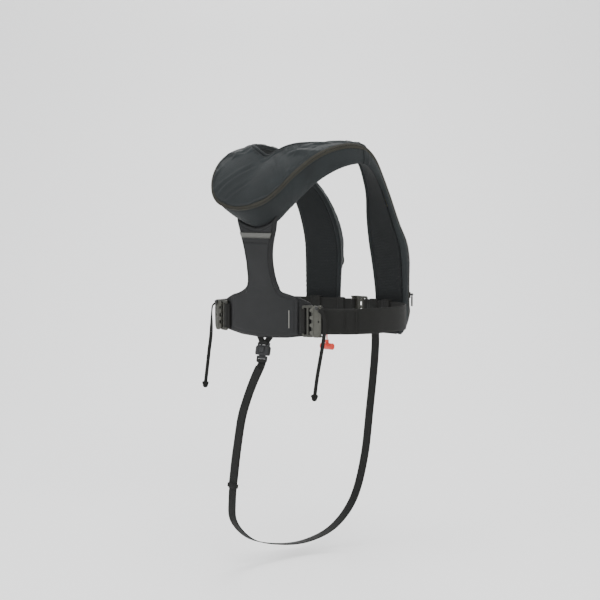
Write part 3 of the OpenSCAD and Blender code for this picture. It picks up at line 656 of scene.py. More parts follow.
def block_mesh(low, high, edge=0.0004):
    """A block with bevelled edges."""
    bm = bmesh.new()
    bmesh.ops.create_cube(bm, size=1.0)
    size, mid = Vector(high) - Vector(low), (Vector(high) + Vector(low)) / 2
    bmesh.ops.scale(bm, vec=size, verts=bm.verts)
    bmesh.ops.translate(bm, vec=mid, verts=bm.verts)
    if edge:
        bmesh.ops.bevel(bm, geom=bm.edges, offset=edge, segments=3, affect="EDGES", profile=0.5)
    mesh = bpy.data.meshes.new("block")
    bm.to_mesh(mesh)
    bm.free()
    return mesh


def rod_mesh(start, end, radius, edge=0.0003, sides=32):
    """A rod with bevelled ends."""
    start, end = Vector(start), Vector(end)
    bm = bmesh.new()
    bmesh.ops.create_cone(
        bm, cap_ends=True, segments=sides, radius1=radius, radius2=radius, depth=(end - start).length
    )
    if edge:
        rims = [e for e in bm.edges if len(e.link_faces) == 2 and any(len(f.verts) > 4 for f in e.link_faces)]
        bmesh.ops.bevel(bm, geom=rims, offset=edge, segments=2, affect="EDGES", profile=0.5)
    turn = (end - start).to_track_quat("Z", "Y").to_matrix().to_4x4()
    bmesh.ops.transform(bm, matrix=Matrix.Translation((start + end) / 2) @ turn, verts=bm.verts)
    mesh = bpy.data.meshes.new("rod")
    bm.to_mesh(mesh)
    bm.free()
    return mesh


def crisp(piece, angle=40):
    """Smooth faces with crisp edges where they meet sharply."""
    piece.data.shade_smooth()
    piece.data.set_sharp_from_angle(angle=math.radians(angle))
    return piece


# ---------------------------------------------------------------- the jacket's own lines

# Neck edge, rim and base of each section, then the cover's rise near the neck edge and near the rim, in mm.
STATIONS = np.array([
    [0, 121, 4, 0, 203, -97, 0, 142, -132, 12, 14],
    [20, 119, 12, 34, 201, -93, 38, 138, -122, 12, 14],
    [38, 114, 20, 64, 195, -82, 65, 132, -98, 12, 14],
    [56, 105, 25, 87, 184, -62, 86, 123, -76, 12, 14],
    [71, 91, 27, 105, 163, -34, 104, 110, -54, 12, 13],
    [82, 69, 28, 120, 127, -5, 121, 90, -35, 12, 13],
    [88, 42, 27, 128, 82, 14, 132, 62, -21, 12, 13],
    [90, 10, 23, 132, 32, 22, 135, 26, -13, 13, 14],
    [88, -22, 12, 130, -13, 17, 132, -10, -12, 15, 16],
    [82, -53, -9, 125, -49, -3, 127, -43, -28, 19, 20],
    [71, -81, -37, 119, -82, -40, 121, -73, -57, 27, 27],
    [58, -107, -71, 117, -110, -84, 119, -96, -93, 36, 34],
    [46, -124, -114, 119, -132, -128, 121, -113, -131, 42, 41],
    [41, -137, -160, 124, -150, -166, 125, -126, -166, 46, 46],
    [43, -144, -200, 126, -156, -200, 127, -131, -200, 49, 49],
    [47, -147, -236, 126, -156, -236, 128, -133, -236, 50, 50],
    [50, -149, -272, 126, -156, -272, 128, -134, -272, 50, 50],
    [50, -150, -308, 126, -156, -308, 128, -135, -308, 46, 46],
    [51, -150, -334, 120, -155, -334, 121, -138, -334, 34, 30],
    [60, -149, -352, 108, -153, -352, 108, -144, -352, 10, 8],
]) / 1000.0
LAST = len(STATIONS) - 1
_half = STATIONS[:0:-1].copy()
_half[:, [0, 3, 6]] *= -1
RING = np.concatenate([_half, STATIONS])
SHOULDER, GAP = 8, 0.06
SPANS = {
    "right_lobe": (0.0, LAST - SHOULDER - GAP),
    "collar": (LAST - SHOULDER + GAP, LAST + SHOULDER - GAP),
    "left_lobe": (LAST + SHOULDER + GAP, 2.0 * LAST),
}


def skin(kind, u, t, gap=0.0036):
    """Points of a skin at u round the ring and t across it: the cover, the side wall or the lining."""
    s = spline(RING, u)
    neck, rim, base = s[:, 0:3], s[:, 3:6], s[:, 6:9]
    across = unit(base - neck)
    slant = rim - neck
    along = (slant * across).sum(1, keepdims=True)
    up = unit(slant - along * across)
    corner = np.stack([along[:, 0], (slant * up).sum(1)], 1)
    foot = np.stack([np.linalg.norm(base - neck, axis=1), np.zeros(len(u))], 1)
    zero = np.zeros_like(corner)
    if kind == "cover":
        first = np.stack([np.full(len(u), 0.002), s[:, 9]], 1)
        second = np.stack([corner[:, 0] * 0.74, corner[:, 1] + s[:, 10]], 1)
        points = [zero, first, second, corner]
        a = gap / (3 * np.linalg.norm(first, axis=1))
        b = 1 - gap / (3 * np.linalg.norm(corner - second, axis=1))
    elif kind == "wall":
        points = [corner, corner + [0.009, -0.002], foot + [0.009, 0.004], foot]
        size = np.linalg.norm(foot - corner, axis=1)
        a, b = gap / size, 1 - 0.0007 / size
    else:
        points = [foot, foot * 2 / 3, foot / 3, zero]
        a, b = 0.0009 / foot[:, 0], 1 - 0.0052 / foot[:, 0]
    t = (a[:, None] + (b - a)[:, None] * t[None, :])[..., None]
    r = 1 - t
    p, q, v, w = (k[:, None] for k in points)
    flat = r**3 * p + 3 * r * r * t * q + 3 * r * t * t * v + t**3 * w
    return neck[:, None] + flat[..., :1] * across[:, None] + flat[..., 1:] * up[:, None]


def ring_line(column, u0, u1, step=0.004):
    """A smooth line along the neck edge (0), rim (3) or base (6), with the sections' outward directions."""
    u = np.linspace(u0, u1, 900)
    s = spline(RING, u)
    line = s[:, column : column + 3]
    length = np.concatenate([[0], np.cumsum(np.linalg.norm(np.diff(line, axis=0), axis=1))])
    count = int(length[-1] / step) + 1
    u = np.interp(np.linspace(0, length[-1], count), length, u)
    s = spline(RING, u)
    neck, rim, base = s[:, 0:3], s[:, 3:6], s[:, 6:9]
    across = unit(base - neck)
    up = (rim - neck) - across * ((rim - neck) * across).sum(1, keepdims=True)
    return s[:, column : column + 3], across, unit(up), u


WAIST_A, WAIST_B, WAIST_N = 0.200, 0.132, 2.6
BELT_Z, BELT_T = -0.308, 0.0026
BELT_MID = 0.0008 + BELT_T / 2
REAR_X = 0.108
FRAME_U, FRAME_N, FRAME_T = 0.024, 0.0086, 0.0036
PLATE_N, PLATE_T = FRAME_N + FRAME_T + 0.0004, 0.003
PIN_R, LOOP_R = 0.002, 0.00235
PIN = (0.025, PLATE_N - 0.0004 - BELT_T - LOOP_R)
FRONT_X = -0.020


def waist_y(x, off=0.0):
    return (WAIST_B + off) * (1 - (abs(x) / (WAIST_A + off)) ** WAIST_N) ** (1 / WAIST_N)


def waist_tilt(x):
    return math.atan2(waist_y(x - 0.001) - waist_y(x + 0.001), 0.002)


def waist_point(degrees, off):
    s, c = math.sin(math.radians(degrees)), math.cos(math.radians(degrees))
    return (
        (WAIST_A + off) * abs(s) ** (2 / WAIST_N),
        (WAIST_B + off) * math.copysign(abs(c) ** (2 / WAIST_N), c),
    )


def on_waist(x, side=1, front=False):
    """Matrix that stands a piece on the belt loop: local X along it, Y out and Z up."""
    place = Matrix.Translation((x, waist_y(x), BELT_Z)) @ Matrix.Rotation(-waist_tilt(x), 4, "Z")
    return Matrix.Diagonal((side, -1 if front else 1, 1, 1)) @ place


def on_front():
    """Matrix of the front hook buckle."""
    return Matrix.Diagonal((1, -1, 1, 1)) @ Matrix.Translation((FRONT_X, WAIST_B, BELT_Z))


def placed(points, matrix):
    points = np.asarray(points, float)
    return points @ np.array(matrix.to_3x3()).T + np.array(matrix.translation)


# ---------------------------------------------------------------- soft shapes


def puffed(grid, inward, cap):
    """Lets a cloth panel, held along its edges, swell a little as the folded bladder behind it does."""
    rows, columns = grid.shape[:2]
    mesh = bpy.data.meshes.new("panel")
    mesh.from_pydata([tuple(p) for p in grid.reshape(-1, 3)], [], lattice(rows, columns, turn=inward < 0))
    panel = bpy.data.objects.new("panel", mesh)
    bpy.context.scene.collection.objects.link(panel)
    held = panel.vertex_groups.new(name="held")
    edge = [r * columns + c for r in range(rows) for c in range(columns) if r in (0, rows - 1) or c in (
        0, columns - 1
    )]
    held.add(edge, 1.0, "REPLACE")
    modifier = panel.modifiers.new("cloth", "CLOTH")
    cloth = modifier.settings
    cloth.quality, cloth.mass, cloth.vertex_group_mass = 4, 0.25, "held"
    cloth.tension_stiffness = cloth.compression_stiffness = 12
    cloth.shear_stiffness, cloth.bending_stiffness = 6, 0.6
    cloth.use_pressure, cloth.uniform_pressure_force = True, 4.0
    cloth.shrink_min = -0.022
    cloth.effector_weights.gravity = 0
    modifier.collision_settings.use_collision = False
    scene = bpy.context.scene
    for step in range(1, 21):
        scene.frame_set(step)
    done = panel.evaluated_get(bpy.context.evaluated_depsgraph_get()).to_mesh()
    points = np.empty(len(done.vertices) * 3)
    done.vertices.foreach_get("co", points)
    scene.frame_set(1)
    bpy.data.objects.remove(panel)
    bpy.data.meshes.remove(mesh)
    move = points.reshape(grid.shape) - grid
    size = np.linalg.norm(move, axis=2, keepdims=True)
    return grid + move * np.minimum(1.0, cap / np.maximum(size, 1e-9))


def stitches(name, path, normal, body="harness", pitch=0.0034, run=0.0024, r=0.00032, material="thread"):
    """A row of lockstitches on a path, each one a small thread that dips at both ends."""
    path, normal = np.asarray(path, float), np.asarray(normal, float)
    s = np.concatenate([[0], np.cumsum(np.linalg.norm(np.diff(path, axis=0), axis=1))])
    count = int(s[-1] / pitch)
    if count < 1:
        return None
    starts = (np.arange(count) + 0.5) * s[-1] / count

    def at(values, where):
        return np.stack([np.interp(where, s, values[:, k]) for k in range(3)], -1)

    places = starts[:, None] + np.linspace(-0.5, 0.5, 5)[None] * run
    centre, up = at(path, places), unit(at(np.broadcast_to(normal, path.shape), places))
    ahead = unit(at(path, places + 0.0004) - at(path, places - 0.0004) + 1e-12)
    side = unit(np.cross(up, ahead))
    lift = np.array([-0.35, 0.5, 0.75, 0.5, -0.35])[None, :, None] * r * 1.6
    width = np.array([0.55, 0.95, 1.0, 0.95, 0.55])[None, :, None, None] * r
    a = np.linspace(0, 2 * math.pi, 6, endpoint=False)
    ring = side[:, :, None] * np.cos(a)[None, None, :, None] + up[:, :, None] * np.sin(a)[None, None, :, None]
    points = (centre + up * lift)[:, :, None] + ring * width
    faces = lattice(5, 6, True, True)
    faces = [tuple(i + 30 * k for i in f) for k in range(count) for f in faces]
    return new_piece(name, points.reshape(-1, 3), faces, material, body, slot=None)


def thread_on(piece):
    return piece


def pucker(grid, inward, column, reach=0.012, height=None, wave=0.0075, seed=0.0):
    """Gathers beside a seam: short waves that run out from one edge of a panel."""
    height = sizes().pucker if height is None else height
    across = np.concatenate(
        [[0], np.cumsum(np.linalg.norm(np.diff(grid[grid.shape[0] // 2], axis=0), axis=1))]
    )
    along = np.concatenate([[0], np.cumsum(np.linalg.norm(np.diff(grid[:, column], axis=0), axis=1))])
    far = across if column == 0 else across[-1] - across
    fade = np.exp(-((far / reach) ** 2)) * np.clip(far / 0.004, 0, 1)
    ripple = np.sin(
        along * 2 * math.pi / wave + 1.7 * np.sin(along * 23 + seed)
    ) * (0.6 + 0.4 * np.sin(along * 57 + seed))
    return grid + grid_normals(grid) * inward * (ripple[:, None] * fade[None, :] * height)[..., None]


def crease(grid, inward, start, end, depth, width, us, ts):
    """Presses a fold into a panel between two of its places, with a soft ridge on both sides."""
    def spot(where):
        i = np.abs(us - where[0]).argmin()
        j = np.abs(ts - where[1]).argmin()
        return grid[i, j]

    a, b = spot(start), spot(end)
    d = b - a
    k = np.clip(((grid - a) * d).sum(2) / (d * d).sum(), 0, 1)
    far = np.linalg.norm(grid - (a + k[..., None] * d), axis=2)
    ends = np.sqrt(np.clip(np.sin(np.clip(k, 0.02, 0.98) * math.pi), 0, 1))
    shape = -np.exp(-((far / width) ** 2)) + 0.55 * np.exp(-(((far - 2.0 * width) / (1.2 * width)) ** 2))
    return grid + grid_normals(grid) * inward * (shape * ends * depth)[..., None]


# Folds: part, kind, start and end (station, share across), depth and width.
CREASES = [
    ("collar", "cover", (19.62, 0.30), (21.48, 0.96), 0.0034, 0.0040),
    ("collar", "cover", (17.58, 0.20), (15.81, 0.86), 0.0026, 0.0042),
    ("collar", "cover", (19.00, 0.55), (20.20, 0.90), 0.0014, 0.0036),
    ("left_lobe", "cover", (33.2, 0.30), (34.2, 0.85), 0.0016, 0.0045),
    ("right_lobe", "cover", (4.6, 0.30), (3.8, 0.80), 0.0016, 0.0045),
    ("collar", "wall", (14.2, 0.05), (15.2, 0.75), 0.0017, 0.0036),
    ("collar", "wall", (15.4, 0.08), (16.5, 0.70), 0.0015, 0.0034),
    ("collar", "wall", (16.9, 0.25), (18.0, 0.90), 0.0012, 0.0036),
    ("collar", "wall", (20.8, 0.15), (19.6, 0.80), 0.0014, 0.0036),
]
PANELS = {}


def ring_steps(part, step):
    """Evenly spaced stations along a part of the ring."""
    u = np.linspace(*SPANS[part], 1200)
    rim = spline(RING[:, 3:6], u)
    s = np.concatenate([[0], np.cumsum(np.linalg.norm(np.diff(rim, axis=0), axis=1))])
    return np.interp(np.linspace(0, s[-1], int(s[-1] / step) + 1), s, u)


def panel(part, kind, step, columns):
    """One panel of the collar or a lobe, swollen, gathered at its seams and creased."""
    u, t = ring_steps(part, step), np.linspace(0, 1, columns)
    grid = skin(kind, u, t)
    probe = grid_normals(grid)[len(u) // 2, columns // 2]
    s = spline(RING, u[len(u) // 2 : len(u) // 2 + 1])
    middle = (s[0, 0:3] + s[0, 6:9]) / 2
    facing = grid[len(u) // 2, columns // 2] - middle
    if kind == "lining":
        facing = -(s[0, 3:6] - middle)
    out = 1.0 if float(probe @ facing) > 0 else -1.0
    if kind == "cover":
        grid = puffed(grid, out, sizes().puff)
        far = 0.012
        grid = pucker(grid, out, 0, far, seed=0.4)
        grid = pucker(grid, out, columns - 1, far * 1.3, seed=2.1)
    elif kind == "wall":
        grid = pucker(grid, out, 0, 0.010, sizes().pucker * 1.3, seed=1.2)
        grid = pucker(grid, out, columns - 1, 0.010, sizes().pucker, seed=3.3)
    for where, what, start, end, depth, width in CREASES:
        if (where, what) == (part, kind):
            grid = crease(grid, out, start, end, depth, width, u, t)
    PANELS[part, kind] = (grid, out, u, t)
    return grid, out


def sheet_size(grid):
    """Mean size of a panel as it was cut, with its area."""
    wide = np.linalg.norm(np.diff(grid, axis=1), axis=2).sum(1).mean()
    long = np.linalg.norm(np.diff(grid, axis=0), axis=2).sum(0)
    a, b = grid[1:, 1:] - grid[:-1, :-1], grid[1:, :-1] - grid[:-1, 1:]
    area = np.linalg.norm(np.cross(a, b), axis=2).sum() / 2
    return (float(wide), float(max(long.mean(), area / wide))), float(area)


class JACKET_OT_camera(bpy.types.Operator):
    """Sets the camera that looks at the jacket's back from its right"""

    bl_idname = "jacket.camera"
    bl_label = "Camera"

    def execute(self, context):
        target = Vector((0.01486, 0.01338, -0.280))
        data = bpy.data.cameras.new("camera")
        data.lens, data.sensor_width = 82.5, 36.0
        camera = bpy.data.objects.new("camera", data)
        camera.location = target + 2.75 * Vector((-0.6675, 0.7413, 0.0698))
        camera.rotation_euler = (target - camera.location).to_track_quat("-Z", "Y").to_euler()
        context.scene.collection.objects.link(camera)
        context.scene.camera = camera
        return {"FINISHED"}


# Release cord: along the belt, up from its middle and out from the wearer, from the hook plate on.
CORD = np.array([
    [26, 22, 17.3], [34.5, 16, 18.2], [38.5, 3, 18.0], [38.5, -18, 18.6],
    [36, -44, 21.5], [33, -74, 27.5], [30, -104, 33], [28, -135.6, 38.5],
]) / 1000.0
KNOT = np.array([27.6, -138.9, 39.0]) / 1000.0
KNOT_R = 0.0055


def knot_path(centre, r, turn=0.0):
    """A tied knot: one strand that passes through itself."""
    a = np.linspace(0, 2 * math.pi, 72, endpoint=False)
    x = np.sin(a) + 2 * np.sin(2 * a)
    y = np.cos(a) - 2 * np.cos(2 * a)
    z = -np.sin(3 * a) * 1.5
    points = np.stack([x, z, y], 1) / 3.0 * r
    c, s = math.cos(turn), math.sin(turn)
    points = points @ np.array([[c, s, 0], [-s, c, 0], [0, 0, 1]])
    return centre + points


def flip_x(points):
    return np.asarray(points) * np.array([-1.0, 1.0, 1.0])


class JACKET_OT_cords(bpy.types.Operator):
    """Makes the two release cords with their knots, and the inflation handle's cord"""

    bl_idname = "jacket.cords"
    bl_label = "Cords"

    def execute(self, context):
        stand = on_waist(REAR_X)
        path = placed(catmull(CORD, 8)[:, [0, 2, 1]], stand)
        knot = placed(KNOT[[0, 2, 1]][None], stand)[0]
        share = np.clip((np.linspace(0, 1, len(path)) - 0.25) / 0.4, 0, 1)
        twist = share * share * (3 - 2 * share)
        outline = webbing_outline(sizes().tape, 0.0018, 6)
        for side, turn in (("left", np.asarray), ("right", flip_x)):
            line = turn(path)
            angle = np.radians(-28 + (66 if side == "left" else 0) * twist)
            flat = np.stack([np.cos(angle), np.sin(angle), 0 * angle], 1)
            cord = tube_piece(
                f"{side}_release_tape", line, outline, turn(flat), "tape", f"{side}_hook", [
                    f"{side}_release_cord"
                ]
            )
            tie = tube_piece(
                f"{side}_tape_knot", knot_path(
                    turn(knot), KNOT_R * 0.92, 0.5
                ), ring_outline(0.0026, 10, 0.85),
                (1.0, 0.3, 0.2), "tape", f"{side}_hook", [f"{side}_cord_knot"], closed=True,
            )
            tuple(line[0])
            [tuple(p) for p in line]
        tip = np.array(GEAR_TIP)
        line = catmull(np.array([tip, tip - [0.0005, 0, 0.014], *HANDLE_LINE]), 8)
        cord = tube_piece(
            "handle_pull_cord", line, ring_outline(0.0014, 14), (1.0, 0, 0), "red_cord", "handle", [
                "handle_cord"
            ]
        )
        tuple(line[0])
        [tuple(p) for p in line]
        return {"FINISHED"}


# Inflation gear: where it stands in the left lobe, its lean, and the lever's tip.
GEAR = Matrix.Translation((0.084, -0.164, -0.226)) @ Matrix.Rotation(math.radians(-7), 4, "X")
GEAR_TIP = GEAR @ Vector((0.009 + 0.020, -0.003, -0.022 - 0.0038))
HANDLE_LINE = np.array([[104, -161, -300], [95, -157, -324], [88, -152.1, -346], [86, -151.8, -376]]) / 1000.0


class JACKET_OT_covers(bpy.types.Operator):
    """Makes the covers, side walls and linings of the collar and lobes, with their stitching"""

    bl_idname = "jacket.covers"
    bl_label = "Covers and linings"

    def execute(self, context):
        kinds = (
            ("cover", "cover", "cover_cloth", 38, 0.0045),
            ("wall", "side_wall", "wall_cloth", 16, 0.0045),
            ("lining", "lining", "lining_mesh", 16, 0.0055),
        )
        for part in SPANS:
            for kind, name, material, columns, step in kinds:
                grid, out = panel(part, kind, step, columns)
                piece = sheet_piece(
                    f"{part}_{name}_cloth", grid, sizes().cloth, material, "harness", [
                        f"{part}_{name}"
                    ], inward=out
                )
                flat, area = sheet_size(grid)
        for part in SPANS:
            grid, out, u, t = PANELS[part, "cover"]
            normal = grid_normals(grid) * out
            for row, label in ((1, "neck"), (grid.shape[1] - 2, "rim")):
                line = stitches(f"{part}_{label}_stitching", grid[:, row], normal[:, row])
                thread_on(line)
            grid, out, u, t = PANELS[part, "wall"]
            normal = grid_normals(grid) * out
            line = stitches(f"{part}_wall_stitching", grid[:, 1], normal[:, 1])
            thread_on(line)
        return {"FINISHED"}


class JACKET_OT_seams(bpy.types.Operator):
    """Makes the strips that join the collar's cover and walls to the lobes'"""

    bl_idname = "jacket.seams"
    bl_label = "Shoulder seams"

    def execute(self, context):
        for side, a, b in (("right", "right_lobe", "collar"), ("left", "collar", "left_lobe")):
            for kind, slot in (("cover", "cover"), ("wall", "side_wall")):
                first, out, _, _ = PANELS[a, kind]
                second, _, _, _ = PANELS[b, kind]
                rows = [first[-3], first[-1], second[0], second[2]]
                rows = np.stack(rows)
                grid = catmull(rows, 3)
                grid = grid + grid_normals(grid) * out * 0.0009
                sheet_piece(
                    f"{side}_shoulder_{kind}_seam", grid, 0.0007, "binding", "harness", (), f"{b}_{slot}", out
                )
                normal = grid_normals(grid) * out
                for row in (1, grid.shape[0] - 2):
                    line = stitches(f"{side}_shoulder_{kind}_row_{row}", grid[row], normal[row])
                    thread_on(line)
        return {"FINISHED"}


class JACKET_OT_zip(bpy.types.Operator):
    """Makes the burst zip round the rim: its folded tape and its coils"""

    bl_idname = "jacket.zip"
    bl_label = "Burst zip"

    def execute(self, context):
        line, across, up, u = ring_line(3, 0.0, 2.0 * LAST, 0.0035)
        cover = skin("cover", u, np.array([0.93, 1.0]))
        wall = skin("wall", u, np.array([0.0, 0.12]))
        s = spline(RING, u)
        middle = (s[:, 0:3] + s[:, 6:9]) / 2
        away = unit(line - middle)
        a, b = unit(cover[:, 1] - cover[:, 0]), unit(wall[:, 1] - wall[:, 0])
        left, right = cover[:, 1] - a * 0.0023, wall[:, 0] + b * 0.0023
        apex = line + away * 0.0012
        share = np.linspace(0, 1, 11)[None, :, None]
        grid = (1 - share) ** 2 * left[:, None] + 2 * share * (1 - share) * (
            2 * apex - (left + right) / 2
        )[:, None]
        grid = grid + share**2 * right[:, None]
        ridge = np.exp(-(((np.linspace(0, 1, 11) - 0.5) / 0.16) ** 2))[None, :, None] * 0.0011
        normal = grid_normals(grid)
        out = 1.0 if float((normal[:, 5] * away).sum(1).mean()) > 0 else -1.0
        edge = (1 - np.abs(np.linspace(-1, 1, 11)) ** 6)[None, :, None] * 0.0009
        grid = grid + normal * out * (ridge + edge)
        sheet_piece("burst_zip_tape", grid, 0.0008, "zip_tape", "harness", ["burst_zip"], None, out)
        normal = grid_normals(grid) * out
        for row, label in ((1, "cover"), (9, "wall")):
            thread_on(
                stitches(f"zip_{label}_stitching", grid[:, row], normal[:, row], pitch=0.0030)
            )
        self.coils(grid[:, 5] + normal[:, 5] * 0.0002, normal[:, 5])
        return {"FINISHED"}

    def coils(self, path, normal):
        """The zip's coils: small rounded loops set alternately from both tapes."""
        pitch = sizes().teeth / 2
        s = np.concatenate([[0], np.cumsum(np.linalg.norm(np.diff(path, axis=0), axis=1))])
        where = np.arange(0.004, s[-1] - 0.004, pitch)

        def at(values):
            return np.stack([np.interp(where, s, values[:, k]) for k in range(3)], 1)

        centre, up, ahead = at(path), unit(at(normal)), unit(at(tangents(path)))
        side = np.cross(up, ahead)
        side = side * np.where(np.arange(len(where)) % 2, 1.0, -1.0)[:, None]
        a = np.linspace(0, 2 * math.pi, 6, endpoint=False)
        rings = []
        for x, w, h in (
            (-0.0009, 0.00028, 0.0002), (0.0, 0.00042, 0.00042), (0.0010, 0.00040, 0.0004),
            (0.0015, 0.0002, 0.0002)
        ):
            middle = centre + side * x + up * 0.0002
            rings.append(
                middle[:, None]
                + ahead[:, None] * (np.cos(a) * w)[None, :, None]
                + up[:, None] * (np.sin(a) * h)[None, :, None]
            )
        points = np.stack(rings, 1)
        faces = lattice(4, 6, True, True)
        faces = [tuple(i + 24 * k for i in f) for k in range(len(where)) for f in faces]
        new_piece("burst_zip_coils", points.reshape(-1, 3), faces, "zip_coil", "harness", slot="burst_zip")


class JACKET_OT_binding(bpy.types.Operator):
    """Makes the binding folded over the neck edge, with its row of stitches"""

    bl_idname = "jacket.binding"
    bl_label = "Neck binding"

    def execute(self, context):
        line, across, up, u = ring_line(0, 0.0, 2.0 * LAST, 0.004)
        a = np.linspace(0, 2 * math.pi, 16, endpoint=False)
        outline = np.stack([0.0046 * np.cos(a) + 0.0020, 0.0026 * np.sin(a)], 1)
        outline[:, 1] *= 1 - 0.25 * np.clip(np.cos(a), 0, 1)
        ripple = 1 + 0.05 * np.sin(np.arange(len(line)) * 1.9) * np.sin(np.arange(len(line)) * 0.23)
        tube_piece(
            "neck_edge_binding", line, outline, across, "binding", "harness", ["neck_binding"], scale=ripple
        )
        out = np.cross(across, tangents(line))
        sign = np.sign((out * up).sum(1, keepdims=True))
        row = line + across * 0.0046 + out * sign * 0.0023
        thread_on(stitches("neck_binding_stitching", row, out * sign, pitch=0.0032))
        return {"FINISHED"}


class JACKET_OT_bladder(bpy.types.Operator):
    """Makes the folded bladder that lies inside the collar and lobes"""

    bl_idname = "jacket.bladder"
    bl_label = "Folded bladder"

    def execute(self, context):
        u = np.linspace(1.7, 2 * LAST - 1.7, 260)
        s = spline(RING, u)
        neck, rim, base = s[:, 0:3], s[:, 3:6], s[:, 6:9]
        across = unit(base - neck)
        slant = rim - neck
        along = (slant * across).sum(1, keepdims=True)
        up = unit(slant - along * across)
        high = ((rim - neck) * up).sum(1)
        w = np.linalg.norm(base - neck, axis=1)
        lobe = np.clip((np.abs(u - LAST) - 9) / 3, 0, 1)
        top = (1 - lobe) * high * 0.74 + lobe * 0.0073
        low = 0.0052
        share = np.linspace(0, 1, 26)
        left, right = 0.18 * w, (0.79 + 0.09 * lobe) * w
        x = left[:, None] + (right - left)[:, None] * share[None]
        crown = np.interp(share, [0, 0.08, 0.45, 0.9, 1.0], [0.30, 0.42, 0.62, 0.95, 0.84])
        y = low + np.maximum(0.002, top[:, None] - low) * crown[None] * 0.92
        fold = 0.0009 * np.sin(share * 2 * math.pi * 3.5)[None] * (0.7 + 0.3 * np.sin(u * 5.1))[:, None]
        upper = np.stack([x, y + fold - 0.0009], -1)
        lower = np.stack([x[:, ::-1], np.full_like(x, low) + 0.0004 * np.sin(x * 900)], -1)
        outline = np.concatenate([upper, lower], 1)
        points = neck[:, None] + outline[..., :1] * across[:, None] + outline[..., 1:] * up[:, None]
        rows, columns = points.shape[:2]
        piece = new_piece(
            "folded_bladder", points.reshape(-1, 3), lattice(rows, columns, True, True, True),
            "bladder_cloth", "harness", ["bladder"],
        )
        return {"FINISHED"}


# ---------------------------------------------------------------- back panel and lumbar pad

SPINE = np.array([
    [150, -100], [149, -120], [147.4, -136], [147.5, -150], [146.5, -170],
    [143.5, -195], [139, -220], [134.5, -240], [132.6, -252.4],
]) / 1000.0
SPINE_T = 0.0088
BACK_HALF = np.array([
    [-0.335, 0.088], [-0.268, 0.088], [-0.2635, 0.074], [-0.259, 0.060], [-0.253, 0.048], [-0.246, 0.041],
    [-0.236, 0.037], [-0.222, 0.035], [-0.200, 0.034], [-0.178, 0.036], [-0.157, 0.041], [-0.140, 0.046],
    [-0.124, 0.050], [-0.1135, 0.052],
])
BACK_TOP = np.array([[0, -133.8], [20, -130.6], [38, -124], [52, -113.5]]) / 1000.0
BACK_FOOT = np.array([[0, -343], [50, -340], [88, -335]]) / 1000.0
PAD_TOP = np.array([[0, -253], [36, -253], [54, -257], [88, -265], [108, -273], [116, -281]]) / 1000.0
PAD_FOOT = np.array([[0, -346], [60, -343], [110, -336], [116, -332]]) / 1000.0


def spine_y(z):
    return np.interp(-np.asarray(z), -SPINE[:, 1], SPINE[:, 0])


def spine_place(x, z, off):
    """A point on the back panel, a distance off from the wearer."""
    return np.stack(np.broadcast_arrays(x, spine_y(z) + off, z), -1)


def pillow(x_far, z_far, rim):
    """How full a bonded panel is: thin at its edge, full a little way in."""
    far = np.minimum(x_far, z_far)
    k = np.clip(far / rim, 0, 1)
    return np.sqrt(1 - (1 - k) ** 2)


def closed_pad(name, outer, inner, material, nodes, slot=None, outward=1.0):
    """A closed pad between two grids that share the same rows and columns."""
    rows, columns = outer.shape[:2]
    step = rows * columns
    faces = lattice(rows, columns, turn=outward < 0)
    faces += [tuple(i + step for i in f[::-1]) for f in faces]
    rim = [r * columns for r in range(rows)] + [(rows - 1) * columns + c for c in range(1, columns)]
    rim += [r * columns + columns - 1 for r in range(rows - 2, -1, -1)] + list(range(columns - 2, 0, -1))
    for a, b in zip(rim, rim[1:] + rim[:1]):
        face = (a, b, b + step, a + step)
        faces.append(face if outward > 0 else face[::-1])
    along = np.concatenate([[0], np.cumsum(np.linalg.norm(np.diff(outer[:, columns // 2], axis=0), axis=1))])
    across = np.concatenate([[0], np.cumsum(np.linalg.norm(np.diff(outer[rows // 2], axis=0), axis=1))])
    uv = np.stack(np.broadcast_arrays(across[None, :], along[:, None]), -1).reshape(-1, 2)
    points = np.concatenate([outer.reshape(-1, 3), inner.reshape(-1, 3)])
    return new_piece(name, points, faces, material, "harness", nodes, slot, np.concatenate([uv, uv]))


def edge_spread(count, power=0.6):
    """Shares from 0 to 1 that crowd towards both ends."""
    k = np.linspace(-1, 1, count)
    return 0.5 + 0.5 * np.sin(k * math.pi / 2 * power) / math.sin(math.pi / 2 * power)


